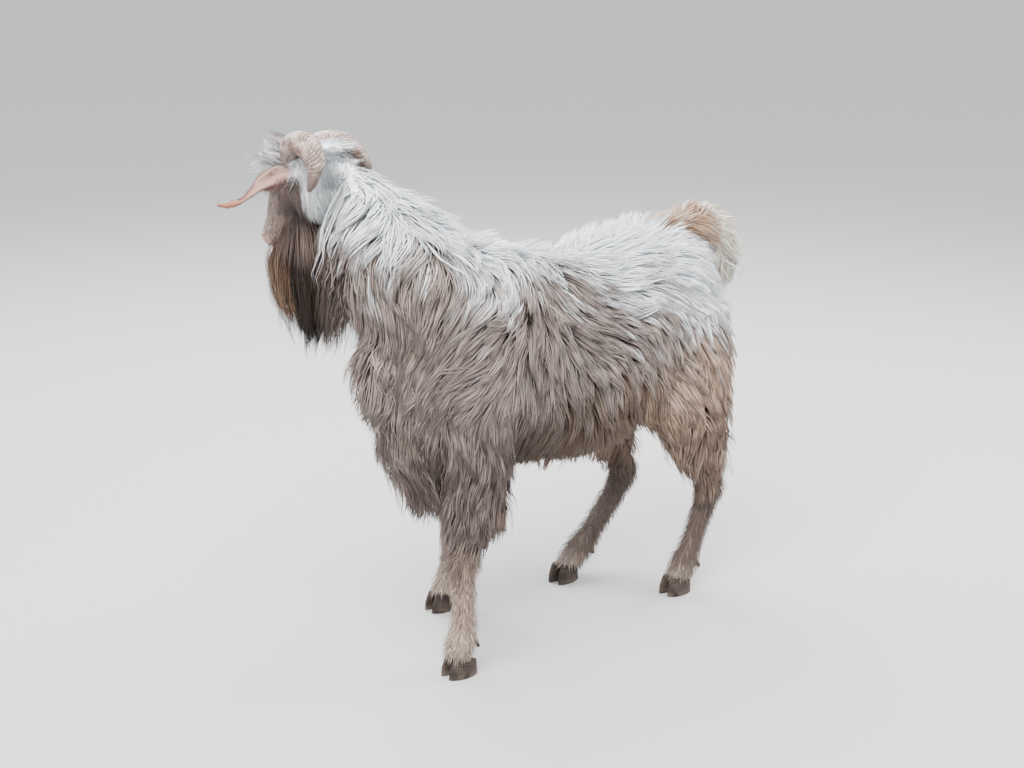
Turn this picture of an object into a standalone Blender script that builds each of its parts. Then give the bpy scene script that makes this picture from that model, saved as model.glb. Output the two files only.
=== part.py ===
"""Adult long-haired buck goat, standing in a walk with its head turned to its right.

Metres, +Z up, the goat faces -Y and its left side is +X. The solids give the outline of the
animal out to the tips of its coat. Flesh is blended from lofts, then parted with thin cuts.
"""
import math

import bmesh
import bpy
import numpy as np
from mathutils import Matrix, Vector

# ---- driving dimensions -------------------------------------------------------------------
GAP = 0.0004              # clearance at a flat parting
RUFF_GAP = 0.0015         # clearance round a horn where it lies in the neck's coat
SOCKET_GAP = 0.0006       # clearance round a piece that is let into its neighbour
BODY_VOXEL = 0.0065       # grain of the blended body before it is thinned
HEAD_VOXEL = 0.0032
HORN_VOXEL = 0.0024
BODY_TRIANGLES = 1852
HEAD_TRIANGLES = 950
HORN_TRIANGLES = 272
TAPER = 0.16              # how much narrower the trunk is at the spine than at the belly

LEAST_CUT = 1e-9          # cubic metres; a cut that takes less has missed
WELD_DISTANCE = 0.00005
SLIVER = 0.00002
FRONT_FRINGE_Z = 0.275    # hair of the upper foreleg ends here
HIND_FRINGE_Z = 0.262

SOLE_LONG = 0.068
SOLE_WIDE = 0.0285
TOE_SPREAD = 0.0160       # centre of a toe from the middle of the foot
CORONET_Z = 0.036         # height of the hoof at the middle of the foot
CORONET_SLOPE = math.radians(11)

HEAD_PLACE = (-0.095, -0.431, 1.016)  # the occiput
HEAD_TURN = math.radians(-74)
HEAD_NOD = math.radians(40)
HEAD_TILT = math.radians(5)
EYE_RADIUS = 0.0140
EYE_PLACE = (0.0430, -0.0980, 0.0150)

# Stations are (x, y, z, half width, half depth) of an oval section.
TRUNK = [
    (0.0, -0.400, 0.605, 0.078, 0.100),
    (0.0, -0.345, 0.605, 0.124, 0.168),
    (0.0, -0.270, 0.615, 0.162, 0.220),
    (0.0, -0.180, 0.620, 0.175, 0.240),
    (0.0, -0.060, 0.600, 0.182, 0.235),
    (0.0, 0.060, 0.580, 0.190, 0.228),
    (0.0, 0.180, 0.598, 0.188, 0.229),
    (0.0, 0.280, 0.625, 0.172, 0.210),
    (0.0, 0.370, 0.655, 0.148, 0.169),
    (0.0, 0.435, 0.680, 0.100, 0.095),
]
BRISKET = [
    (0.0, -0.318, 0.560, 0.092, 0.088),
    (-0.010, -0.314, 0.430, 0.084, 0.074),
    (-0.018, -0.292, 0.345, 0.060, 0.052),
    (-0.022, -0.282, 0.300, 0.034, 0.034),
]
NECK = [
    (0.0, -0.236, 0.640, 0.146, 0.158),
    (-0.008, -0.304, 0.760, 0.126, 0.142),
    (-0.034, -0.366, 0.860, 0.103, 0.118),
    (-0.064, -0.400, 0.936, 0.082, 0.088),
    (-0.084, -0.420, 0.985, 0.062, 0.064),
]
UPPER_LEGS = {
    "front_left": [
        (0.110, -0.245, 0.600, 0.060, 0.100),
        (0.122, -0.250, 0.450, 0.060, 0.074),
        (0.120, -0.260, 0.350, 0.055, 0.072),
        (0.119, -0.264, 0.285, 0.048, 0.070),
        (0.119, -0.266, 0.250, 0.040, 0.054),
    ],
    "front_right": [
        (-0.110, -0.225, 0.600, 0.060, 0.100),
        (-0.124, -0.165, 0.450, 0.060, 0.082),
        (-0.129, -0.135, 0.350, 0.053, 0.072),
        (-0.131, -0.126, 0.285, 0.046, 0.058),
        (-0.132, -0.126, 0.250, 0.038, 0.046),
    ],
    "hind_left": [
        (0.105, 0.298, 0.640, 0.070, 0.150),
        (0.118, 0.305, 0.520, 0.070, 0.148),
        (0.123, 0.326, 0.420, 0.062, 0.120),
        (0.122, 0.358, 0.330, 0.050, 0.088),
        (0.119, 0.392, 0.270, 0.040, 0.056),
        (0.119, 0.400, 0.240, 0.032, 0.044),
    ],
    "hind_right": [
        (-0.105, 0.300, 0.640, 0.070, 0.150),
        (-0.118, 0.275, 0.520, 0.070, 0.150),
        (-0.120, 0.260, 0.420, 0.062, 0.124),
        (-0.108, 0.295, 0.330, 0.050, 0.088),
        (-0.099, 0.330, 0.265, 0.040, 0.056),
        (-0.095, 0.340, 0.235, 0.032, 0.045),
    ],
}
LOWER_LEGS = {
    "front_left": [
        (0.119, -0.280, 0.310, 0.028, 0.032),
        (0.119, -0.292, 0.250, 0.0290, 0.0310),
        (0.119, -0.294, 0.232, 0.0275, 0.0295),
        (0.119, -0.294, 0.200, 0.0220, 0.0235),
        (0.119, -0.294, 0.130, 0.0205, 0.0220),
        (0.119, -0.295, 0.100, 0.0215, 0.0240),
        (0.119, -0.298, 0.074, 0.0275, 0.0300),
        (0.119, -0.308, 0.050, 0.0268, 0.0262),
        (0.119, -0.312, 0.020, 0.0262, 0.0262),
    ],
    "front_right": [
        (-0.133, -0.128, 0.310, 0.028, 0.032),
        (-0.135, -0.127, 0.250, 0.0290, 0.0310),
        (-0.136, -0.126, 0.232, 0.0275, 0.0295),
        (-0.138, -0.123, 0.200, 0.0220, 0.0235),
        (-0.142, -0.121, 0.130, 0.0205, 0.0220),
        (-0.145, -0.119, 0.100, 0.0215, 0.0240),
        (-0.147, -0.119, 0.074, 0.0275, 0.0300),
        (-0.147, -0.134, 0.050, 0.0268, 0.0262),
        (-0.147, -0.150, 0.020, 0.0262, 0.0262),
    ],
    "hind_left": [
        (0.119, 0.392, 0.310, 0.026, 0.036),
        (0.119, 0.404, 0.250, 0.0255, 0.0370),
        (0.119, 0.404, 0.225, 0.0250, 0.0340),
        (0.119, 0.388, 0.185, 0.0215, 0.0255),
        (0.119, 0.360, 0.125, 0.0205, 0.0225),
        (0.119, 0.346, 0.095, 0.0220, 0.0240),
        (0.119, 0.335, 0.071, 0.0270, 0.0295),
        (0.119, 0.319, 0.048, 0.0268, 0.0268),
        (0.119, 0.302, 0.020, 0.0262, 0.0270),
    ],
    "hind_right": [
        (-0.099, 0.322, 0.310, 0.026, 0.036),
        (-0.093, 0.339, 0.240, 0.0260, 0.0380),
        (-0.091, 0.338, 0.212, 0.0255, 0.0355),
        (-0.090, 0.316, 0.180, 0.0225, 0.0275),
        (-0.090, 0.260, 0.118, 0.0215, 0.0240),
        (-0.090, 0.235, 0.092, 0.0225, 0.0250),
        (-0.090, 0.211, 0.069, 0.0275, 0.0300),
        (-0.090, 0.183, 0.048, 0.0268, 0.0265),
        (-0.090, 0.158, 0.020, 0.0262, 0.0262),
    ],
}
# middle of each foot on the ground, and its turn about Z
FEET = {
    "front_left": (0.119, -0.308, 0.0),
    "front_right": (-0.147, -0.148, 0.0),
    "hind_left": (0.119, 0.301, 0.0),
    "hind_right": (-0.090, 0.156, math.radians(12)),
}
DEWCLAWS = {  # middle of the pair, behind and below the fetlock
    "front_left": (0.119, -0.274, 0.060),
    "front_right": (-0.147, -0.098, 0.060),
    "hind_left": (0.119, 0.359, 0.056),
    "hind_right": (-0.090, 0.231, 0.054),
}
TAIL = [
    (0.0, 0.350, 0.765, 0.022, 0.028),
    (-0.004, 0.405, 0.792, 0.030, 0.040),
    (-0.008, 0.465, 0.794, 0.034, 0.045),
    (-0.010, 0.518, 0.772, 0.034, 0.050),
    (-0.012, 0.553, 0.732, 0.030, 0.046),
    (-0.012, 0.568, 0.688, 0.024, 0.036),
    (-0.012, 0.570, 0.650, 0.014, 0.018),
]

# The head is drawn level, facing -Y, with its occiput at the origin.
SKULL = [
    (0.0, 0.020, -0.002, 0.034, 0.038),
    (0.0, -0.020, 0.000, 0.046, 0.050),
    (0.0, -0.060, -0.003, 0.052, 0.060),
    (0.0, -0.100, -0.004, 0.048, 0.058),
    (0.0, -0.135, -0.006, 0.037, 0.050),
    (0.0, -0.170, -0.017, 0.0300, 0.040),
    (0.0, -0.200, -0.028, 0.0265, 0.031),
    (0.0, -0.224, -0.035, 0.0255, 0.025),
    (0.0, -0.235, -0.037, 0.0220, 0.020),
]
JAW = [
    (0.0, -0.045, -0.050, 0.030, 0.026),
    (0.0, -0.080, -0.060, 0.027, 0.022),
    (0.0, -0.130, -0.058, 0.020, 0.016),
    (0.0, -0.180, -0.056, 0.0175, 0.014),
    (0.0, -0.220, -0.057, 0.0165, 0.011),
]
# left-hand swellings of the head: (place, radii)
SWELLINGS = [
    ((0.040, -0.092, 0.024), (0.014, 0.024, 0.015)),     # brow
    ((0.034, -0.072, -0.040), (0.016, 0.034, 0.030)),    # cheek
    ((0.017, -0.227, -0.029), (0.010, 0.013, 0.012)),    # nostril
    ((0.040, -0.042, 0.004), (0.014, 0.018, 0.018)),     # root of the ear
    ((0.024, -0.048, 0.038), (0.016, 0.018, 0.014)),     # root of the horn
]
HORN = [
    (0.0250, -0.0700, 0.0320, 0.0160, 0.0180),
    (0.0300, -0.0480, 0.0385, 0.0200, 0.0235),
    (0.045, -0.016, 0.040, 0.0210, 0.0260),
    (0.061, 0.012, 0.021, 0.0200, 0.0260),
    (0.072, 0.021, -0.009, 0.0175, 0.0225),
    (0.081, 0.010, -0.034, 0.0130, 0.0165),
    (0.085, -0.010, -0.048, 0.0085, 0.0100),
    (0.086, -0.024, -0.053, 0.0050, 0.0055),
]
RIGHT_HORN_SWEEP = 0.66    # the right horn curls tighter: its reach back, against the left one's
RIGHT_HORN_DROP = 0.008
EAR = [
    (0.044, -0.044, -0.002, 0.010, 0.0110),
    (0.060, -0.058, 0.010, 0.020, 0.0080),
    (0.082, -0.080, 0.018, 0.022, 0.0060),
    (0.106, -0.104, 0.017, 0.0145, 0.0055),
    (0.130, -0.130, 0.013, 0.0100, 0.0050),
    (0.147, -0.148, 0.019, 0.0085, 0.0045),
    (0.158, -0.158, 0.031, 0.0055, 0.0038),
]
BEARD_DROPS = [  # below the chin: (drop, forward, half width, half length)
    (0.000, -0.018, 0.034, 0.060),
    (0.070, -0.022, 0.043, 0.080),
    (0.150, -0.026, 0.040, 0.076),
    (0.220, -0.030, 0.025, 0.052),
]

COLOURS = {  # base colour, roughness
    "white_coat": ((0.72, 0.68, 0.62), 0.85),
    "taupe_coat": ((0.40, 0.33, 0.28), 0.85),
    "tan_coat": ((0.46, 0.33, 0.22), 0.85),
    "face": ((0.50, 0.37, 0.31), 0.75),
    "skin": ((0.66, 0.43, 0.34), 0.60),
    "horn": ((0.36, 0.28, 0.22), 0.55),
    "hoof": ((0.10, 0.07, 0.05), 0.45),
    "eye": ((0.35, 0.20, 0.06), 0.10),
}


FORWARD = (0, -1, 0)
BACK = (0, 1, 0)
DOWN = (0, 0, -1)


# ---- scene, materials ---------------------------------------------------------------------
def clear_scene():
    for item in list(bpy.data.objects):
        bpy.data.objects.remove(item, do_unlink=True)


def collection(name):
    made = bpy.data.collections.new(name)
    bpy.context.scene.collection.children.link(made)
    return made


def material(name):
    colour, roughness = COLOURS[name]
    made = bpy.data.materials.get(name) or bpy.data.materials.new(name)
    made.use_nodes = True
    shader = made.node_tree.nodes["Principled BSDF"]
    shader.inputs["Base Color"].default_value = (*colour, 1.0)
    shader.inputs["Roughness"].default_value = roughness
    shader.inputs["Metallic"].default_value = 0.0
    return made


def object_from(bm, name):
    bmesh.ops.recalc_face_normals(bm, faces=bm.faces)
    mesh = bpy.data.meshes.new(name)
    bm.to_mesh(mesh)
    bm.free()
    made = bpy.data.objects.new(name, mesh)
    cutters.objects.link(made)
    made.hide_render = True
    made.display_type = "WIRE"
    return made


# ---- lofts --------------------------------------------------------------------------------
def through(stations, steps):
    """Catmull-Rom rows through the stations, `steps` of them to a span."""
    rows = np.array(stations, dtype=float)
    ends = np.vstack([2 * rows[0] - rows[1], rows, 2 * rows[-1] - rows[-2]])
    made = []
    for i in range(1, len(ends) - 2):
        a, b, c, d = ends[i - 1:i + 3]
        for t in np.arange(steps) / steps:
            cubic = (3 * b - a - 3 * c + d) * t ** 3
            square = (2 * a - 5 * b + 4 * c - d) * t ** 2
            made.append(0.5 * (2 * b + (c - a) * t + square + cubic))
    made.append(rows[-1])
    return np.array(made)


def loft(name, stations, side=(1, 0, 0), facing=None, around=20, steps=3, taper=0.0,
         dome=0.6, caps=3):
    """Oval sections along a smooth path, closed by a dome at each end.

    The sections are square to the path, or all face one way where `facing` gives it.
    """
    rows = through(stations, steps)
    centres, wide, deep = rows[:, :3], rows[:, 3], rows[:, 4]
    along = np.gradient(centres, axis=0) if facing is None else np.tile(facing, (len(rows), 1))
    along = along.astype(float)
    along /= np.linalg.norm(along, axis=1)[:, None]
    angles = np.arange(around) / around * 2 * math.pi

    def ring(centre, axis, half_wide, half_deep):
        across = np.array(side, dtype=float)
        across -= axis * (across @ axis)
        across /= np.linalg.norm(across)
        up = np.cross(across, axis)
        x = np.cos(angles) * half_wide * (1 - taper * np.sin(angles))
        return centre + np.outer(x, across) + np.outer(np.sin(angles) * half_deep, up)

    def domed(end, sign):
        reach = dome * min(wide[end], deep[end])
        rings = []
        for j in range(1, caps + 1):
            turn = j / (caps + 0.3) * math.pi / 2
            centre = centres[end] + sign * along[end] * reach * math.sin(turn)
            shrink = math.cos(turn)
            rings.append(ring(centre, along[end], wide[end] * shrink, deep[end] * shrink))
        return rings

    rings = [ring(*row) for row in zip(centres, along, wide, deep)]
    rings = domed(0, -1)[::-1] + rings + domed(-1, 1)
    bm = bmesh.new()
    loops = [[bm.verts.new(point) for point in one] for one in rings]
    for low, high in zip(loops, loops[1:]):
        for i in range(around):
            j = (i + 1) % around
            bm.faces.new((low[i], low[j], high[j], high[i]))
    bm.faces.new(loops[0][::-1])
    bm.faces.new(loops[-1])
    return object_from(bm, name)


def ball(name, place, radii, segments=16, rings=10):
    bm = bmesh.new()
    shape = Matrix.Translation(place) @ Matrix.Diagonal((*radii, 1.0))
    bmesh.ops.create_uvsphere(bm, u_segments=segments, v_segments=rings, radius=1.0, matrix=shape)
    return object_from(bm, name)


def slab(name, corner, normal):
    """A large block whose one face passes through `corner`, with `normal` pointing out of it."""
    size = 2.0
    turn = Vector(normal).to_track_quat("Z", "Y").to_matrix().to_4x4()
    shape = Matrix.Translation(corner) @ turn @ Matrix.Translation((0, 0, -size / 2))
    bm = bmesh.new()
    bmesh.ops.create_cube(bm, size=size, matrix=shape)
    return object_from(bm, name)


# ---- modifiers ----------------------------------------------------------------------------
def settle(item):
    """Apply every modifier of the object."""
    depsgraph = bpy.context.evaluated_depsgraph_get()
    mesh = bpy.data.meshes.new_from_object(item.evaluated_get(depsgraph))
    item.modifiers.clear()
    item.data = mesh


def blend(name, pieces, voxel, smoothing, triangles):
    """One skin over overlapping pieces: voxel remesh, smoothing, then thinning."""
    bm = bmesh.new()
    for piece in pieces:
        bm.from_mesh(piece.data)
        bpy.data.objects.remove(piece, do_unlink=True)
    whole = object_from(bm, name)
    remesh = whole.modifiers.new("remesh", "REMESH")
    remesh.mode = "VOXEL"
    remesh.voxel_size = voxel
    smooth = whole.modifiers.new("smooth", "SMOOTH")
    smooth.factor = 0.5
    smooth.iterations = smoothing
    settle(whole)
    count = sum(len(face.vertices) - 2 for face in whole.data.polygons)
    thin = whole.modifiers.new("thin", "DECIMATE")
    thin.ratio = triangles / count
    settle(whole)
    return whole


def copy_of(item, name):
    made = bpy.data.objects.new(name, item.data.copy())
    cutters.objects.link(made)
    made.hide_render = True
    made.display_type = "WIRE"
    return made


def grown(item, amount):
    made = copy_of(item, item.name + "_grown")
    swell = made.modifiers.new("swell", "DISPLACE")
    swell.strength = amount
    swell.mid_level = 0.0
    settle(made)
    return made


def measure(mesh):
    """Volume of a mesh, and whether it is closed."""
    bm = bmesh.new()
    bm.from_mesh(mesh)
    volume = bm.calc_volume()
    closed = all(len(edge.link_faces) == 2 for edge in bm.edges)
    bm.free()
    return volume, closed


def boolean(item, cutter, operation):
    """Cut or keep what the cutter covers, with the second solver where the first leaves a hole."""
    uncut = item.data
    before, _ = measure(uncut)
    for solver in ("EXACT", "MANIFOLD"):
        item.data = uncut
        cut = item.modifiers.new("cut", "BOOLEAN")
        cut.operation = operation
        cut.solver = solver
        cut.object = cutter
        settle(item)
        after, closed = measure(item.data)
        if closed and after < before - LEAST_CUT:
            break


def keep_largest(item):
    """Weld slivers where that leaves no hole, then drop loose crumbs and flaps with no thickness."""
    bm = bmesh.new()
    bm.from_mesh(item.data)
    bmesh.ops.remove_doubles(bm, verts=bm.verts, dist=WELD_DISTANCE)
    bmesh.ops.dissolve_degenerate(bm, edges=bm.edges, dist=SLIVER)
    if any(len(edge.link_faces) != 2 for edge in bm.edges):
        bm.clear()
        bm.from_mesh(item.data)
    left = set(bm.verts)
    islands = []
    while left:
        reached = {left.pop()}
        front = list(reached)
        while front:
            vert = front.pop()
            near = [edge.other_vert(vert) for edge in vert.link_edges]
            fresh = [other for other in near if other not in reached]
            reached.update(fresh)
            front.extend(fresh)
        left -= reached
        islands.append(reached)
    islands.sort(key=len)
    crumbs = [vert for island in islands[:-1] for vert in island]
    bmesh.ops.delete(bm, geom=crumbs, context="VERTS")
    bmesh.ops.triangulate(bm, faces=bm.faces)
    same = {}
    for face in bm.faces:
        same.setdefault(frozenset(face.verts), []).append(face)
    folded = [face for faces in same.values() if len(faces) > 1 for face in faces]
    bmesh.ops.delete(bm, geom=folded, context="FACES")
    bm.to_mesh(item.data)
    bm.free()


def cut_away(item, neighbours, clearance=SOCKET_GAP):
    """Make room in `item` for its neighbours, with the clearance all round them."""
    for neighbour in neighbours:
        cutter = grown(neighbour, clearance)
        boolean(item, cutter, "DIFFERENCE")
        bpy.data.objects.remove(cutter, do_unlink=True)


def finish(item, name, finish_name):
    item.name = name
    item.data.name = name
    keep_largest(item)
    item.hide_render = False
    item.display_type = "TEXTURED"
    cutters.objects.unlink(item)
    goat.objects.link(item)
    item.data.materials.clear()
    item.data.materials.append(material(finish_name))
    return item


# ---- the body -----------------------------------------------------------------------------
def leg_region(leg, amount):
    """The space that a leg takes from the body: its outer side down from the shoulder or hip."""
    sign = 1 if "left" in leg else -1
    rows = []
    for x, y, z, wide, deep in UPPER_LEGS[leg]:
        rows.append((x + sign * 0.042, y, z, wide + 0.052 + amount, deep + 0.020 + amount))
    x, y, z, wide, deep = rows[-1]
    rows.append((x, y, z - 0.12, wide, deep))
    return loft("region_" + leg, rows, facing=DOWN, around=12, steps=1, caps=1)


def body_parts():
    pieces = [
        loft("trunk_form", TRUNK, facing=BACK, around=32, steps=4, taper=TAPER),
        loft("brisket_form", BRISKET, facing=DOWN, around=20),
        loft("neck_form", NECK, around=28, steps=4),
    ]
    pieces += [loft("form_" + leg, UPPER_LEGS[leg], facing=DOWN) for leg in UPPER_LEGS]
    whole = blend("body", pieces, BODY_VOXEL, 6, BODY_TRIANGLES)

    legs = {}
    for leg in UPPER_LEGS:
        part = copy_of(whole, "upper_leg_" + leg)
        boolean(part, leg_region(leg, 0.0), "INTERSECT")
        level = FRONT_FRINGE_Z if "front" in leg else HIND_FRINGE_Z
        boolean(part, slab("floor_" + leg, (0, 0, level), (0, 0, 1)), "DIFFERENCE")
        legs[leg] = part
    for leg in UPPER_LEGS:
        boolean(whole, leg_region(leg, GAP), "DIFFERENCE")

    parting = Vector((0, -0.170, 0.870))
    slope = Vector((0, -0.64, 0.768))
    neck = copy_of(whole, "neck")
    boolean(neck, slab("below_neck", parting + slope * GAP / 2, slope), "DIFFERENCE")
    boolean(whole, slab("above_trunk", parting - slope * GAP / 2, -slope), "DIFFERENCE")
    return whole, neck, legs


# ---- legs and feet ------------------------------------------------------------------------
def toe(name, foot, sign):
    """One hoof: a flat sole at floor level, narrowing up to a sloping coronet."""
    x, y, turn = foot
    around = 12
    levels = [(0.0, 1.0, 0.0), (0.40, 0.96, 0.0), (1.0, 0.80, 0.005)]
    bm = bmesh.new()
    loops = []
    for height, size, back in levels:
        loop = []
        for i in range(around):
            angle = i / around * 2 * math.pi
            u, v = math.cos(angle), math.sin(angle)
            point = max(0.0, -v)
            px = sign * TOE_SPREAD + u * SOLE_WIDE / 2 * size * (1 - 0.35 * point ** 2)
            px -= sign * 0.004 * point ** 2
            py = v * SOLE_LONG / 2 * size + back
            top = CORONET_Z - py * math.tan(CORONET_SLOPE)
            loop.append(bm.verts.new((px, py, height * top)))
        loops.append(loop)
    for low, high in zip(loops, loops[1:]):
        for i in range(around):
            j = (i + 1) % around
            bm.faces.new((low[i], low[j], high[j], high[i]))
    bm.faces.new(loops[0][::-1])
    bm.faces.new(loops[-1])
    bm.transform(Matrix.Translation((x, y, 0)) @ Matrix.Rotation(turn, 4, "Z"))
    return object_from(bm, name)


def dewclaw(name, place, turn, sign):
    rows = [
        (sign * 0.009, -0.006, 0.008, 0.0060, 0.0060),
        (sign * 0.011, 0.002, 0.000, 0.0065, 0.0055),
        (sign * 0.0125, 0.007, -0.009, 0.0050, 0.0040),
    ]
    made = loft(name, rows, around=6, steps=1, caps=1)
    made.data.transform(Matrix.Translation(place) @ Matrix.Rotation(turn, 4, "Z"))
    return made


def foot_parts(leg):
    x, y, turn = FEET[leg]
    shin = loft("lower_leg_" + leg, LOWER_LEGS[leg], around=10, steps=1, caps=1)
    level = (FRONT_FRINGE_Z if "front" in leg else HIND_FRINGE_Z) - GAP
    boolean(shin, slab("fringe_" + leg, (0, 0, level), (0, 0, -1)), "DIFFERENCE")
    slope = Matrix.Rotation(turn, 3, "Z") @ Vector((0, math.sin(CORONET_SLOPE), math.cos(CORONET_SLOPE)))
    middle = Vector((x, y, CORONET_Z)) + slope * GAP
    boolean(shin, slab("coronet_" + leg, middle, slope), "DIFFERENCE")
    claws = []
    for sign, hand in ((1, "left"), (-1, "right")):
        finish(toe("toe", FEET[leg], sign), f"hoof_{leg}_{hand}_toe", "hoof")
        claw = dewclaw("claw", DEWCLAWS[leg], turn, sign)
        claws.append(finish(claw, f"dewclaw_{leg}_{hand}", "hoof"))
    cut_away(shin, claws)
    finish(shin, "lower_leg_" + leg, "white_coat")


# ---- the head -----------------------------------------------------------------------------
def head_frame():
    turn = Matrix.Rotation(HEAD_TURN, 4, "Z") @ Matrix.Rotation(HEAD_NOD, 4, "X")
    return Matrix.Translation(HEAD_PLACE) @ turn @ Matrix.Rotation(HEAD_TILT, 4, "Y")


def mirrored(rows, sign):
    return [(sign * row[0], *row[1:]) for row in rows]


def horn_rows(sign):
    if sign > 0:
        return HORN
    root = HORN[1]
    rows = HORN[:2]
    for x, y, z, wide, deep in HORN[2:]:
        rows.append((x, root[1] + (y - root[1]) * RIGHT_HORN_SWEEP, z - RIGHT_HORN_DROP, wide, deep))
    return mirrored(rows, -1)


def head_parts(neck):
    frame = head_frame()
    pieces = [
        loft("skull_form", SKULL, facing=FORWARD, around=28),
        loft("jaw_form", JAW, facing=FORWARD),
    ]
    for sign in (1, -1):
        for place, radii in SWELLINGS:
            pieces.append(ball("swelling", (sign * place[0], *place[1:]), radii))
    head = blend("head", pieces, HEAD_VOXEL, 5, HEAD_TRIANGLES)
    head.data.transform(frame)

    ears = []
    horns = []
    eyes = []
    for sign, hand in ((1, "left"), (-1, "right")):
        horn = loft("horn", horn_rows(sign), side=(0, 0.5, 0.8), around=16, steps=3, caps=2)
        horn = blend("horn", [horn], HORN_VOXEL, 2, HORN_TRIANGLES)
        horns.append((horn, "horn_" + hand))
        ear = loft("ear", mirrored(EAR, sign), side=(0, -0.35, 0.9), around=10, steps=2, caps=1)
        ears.append((ear, "ear_" + hand))
        place = (sign * EYE_PLACE[0], *EYE_PLACE[1:])
        eye = ball("eye", place, (EYE_RADIUS,) * 3, segments=12, rings=8)
        eyes.append((eye, "eye_" + hand))
    for item, _ in ears + horns + eyes:
        item.data.transform(frame)

    # a slanted parting behind the jaw and the poll
    turn = frame.to_3x3()
    behind = (turn @ Vector((0, 0.80, -0.60))).normalized()
    parting = frame @ Vector((0, -0.014, -0.045))
    boolean(head, slab("before_neck", parting - behind * GAP / 2, -behind), "DIFFERENCE")
    boolean(neck, slab("behind_head", parting + behind * GAP / 2, behind), "DIFFERENCE")

    for (eye, _), (horn, _), (ear, _) in zip(eyes, horns, ears):
        cut_away(head, (eye, horn, ear))
        cut_away(neck, (horn,), RUFF_GAP)
    for item, name in horns:
        finish(item, name, "horn")
    for item, name in ears:
        finish(item, name, "skin")
    for item, name in eyes:
        finish(item, name, "eye")
    return head


def beard_part(head, neck):
    chin = head_frame() @ Vector((0, -0.165, -0.055))
    ahead = (head_frame().to_3x3() @ Vector((0, -1, 0)))
    ahead.z = 0.0
    ahead.normalize()
    rows = []
    for drop, forward, wide, long in BEARD_DROPS:
        place = chin + ahead * forward - Vector((0, 0, drop))
        rows.append((*place, wide, long))
    across = ahead.cross(Vector((0, 0, 1)))
    beard = loft("beard", rows, side=across, facing=DOWN, around=12, steps=1, caps=1)
    cut_away(beard, (head, neck))
    finish(beard, "beard", "tan_coat")


def tail_part(trunk):
    tail = loft("tail", TAIL, around=10, steps=2, caps=1)
    cut_away(tail, (trunk,))
    finish(tail, "tail", "tan_coat")


# ---- place on the floor -------------------------------------------------------------------
def centre_on_floor():
    """Move every part so that the origin is the middle of the box's underside."""
    points = [Vector(corner) for item in goat.objects for corner in item.bound_box]
    low = Vector(map(min, zip(*points)))
    high = Vector(map(max, zip(*points)))
    shift = Vector((-(low.x + high.x) / 2, -(low.y + high.y) / 2, -low.z))
    for item in goat.objects:
        item.data.transform(Matrix.Translation(shift))
        item["origin_shift"] = tuple(shift)


clear_scene()
goat = collection("goat")
cutters = collection("cutters")
trunk_body, neck_body, upper_legs = body_parts()
head_body = head_parts(neck_body)
beard_part(head_body, neck_body)
tail_part(trunk_body)
finish(trunk_body, "trunk", "white_coat")
finish(neck_body, "neck", "white_coat")
finish(head_body, "head", "face")
for leg_name, leg_body in upper_legs.items():
    finish(leg_body, "upper_leg_" + leg_name, "taupe_coat")
for leg_name in UPPER_LEGS:
    foot_parts(leg_name)
for spare in list(cutters.objects):
    bpy.data.objects.remove(spare, do_unlink=True)
centre_on_floor()
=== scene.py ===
import math

import bmesh
import bpy
import numpy as np
from mathutils import Matrix, Vector
from mathutils.bvhtree import BVHTree
from mathutils.kdtree import KDTree


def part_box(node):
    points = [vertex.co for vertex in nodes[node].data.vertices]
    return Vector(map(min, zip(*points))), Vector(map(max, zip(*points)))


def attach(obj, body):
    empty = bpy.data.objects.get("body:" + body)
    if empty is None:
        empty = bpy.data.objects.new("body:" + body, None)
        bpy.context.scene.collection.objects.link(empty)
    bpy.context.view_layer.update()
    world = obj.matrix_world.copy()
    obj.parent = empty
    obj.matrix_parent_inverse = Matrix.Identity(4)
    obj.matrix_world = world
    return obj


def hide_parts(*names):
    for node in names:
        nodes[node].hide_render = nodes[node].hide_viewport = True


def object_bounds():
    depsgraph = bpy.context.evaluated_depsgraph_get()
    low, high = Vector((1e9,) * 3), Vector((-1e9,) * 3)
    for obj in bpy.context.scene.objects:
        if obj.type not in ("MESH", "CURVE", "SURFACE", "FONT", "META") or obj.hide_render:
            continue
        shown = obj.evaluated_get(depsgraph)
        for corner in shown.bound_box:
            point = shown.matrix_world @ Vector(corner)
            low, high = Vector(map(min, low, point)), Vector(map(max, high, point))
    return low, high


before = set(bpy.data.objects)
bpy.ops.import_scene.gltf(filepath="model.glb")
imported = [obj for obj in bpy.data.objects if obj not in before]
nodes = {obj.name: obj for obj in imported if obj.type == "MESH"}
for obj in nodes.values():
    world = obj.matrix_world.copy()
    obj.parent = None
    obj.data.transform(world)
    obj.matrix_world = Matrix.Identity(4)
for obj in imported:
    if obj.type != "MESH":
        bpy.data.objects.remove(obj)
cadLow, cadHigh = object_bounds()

# A long-haired buck goat: one skin, and every hair on it a thin closed mesh.
# Metres, +Z up, the goat faces -Y and its left side is +X.
dice = np.random.default_rng(23)
kinds = ("trunk", "neck", "head", "tail", "ear", "upper_leg", "lower_leg")
fleshNames = [name for name in sorted(nodes) if name.startswith(kinds)]
hornNames = ("horn_left", "horn_right")
weldGap = 0.00001            # points of a CAD node closer than this are one point


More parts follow.
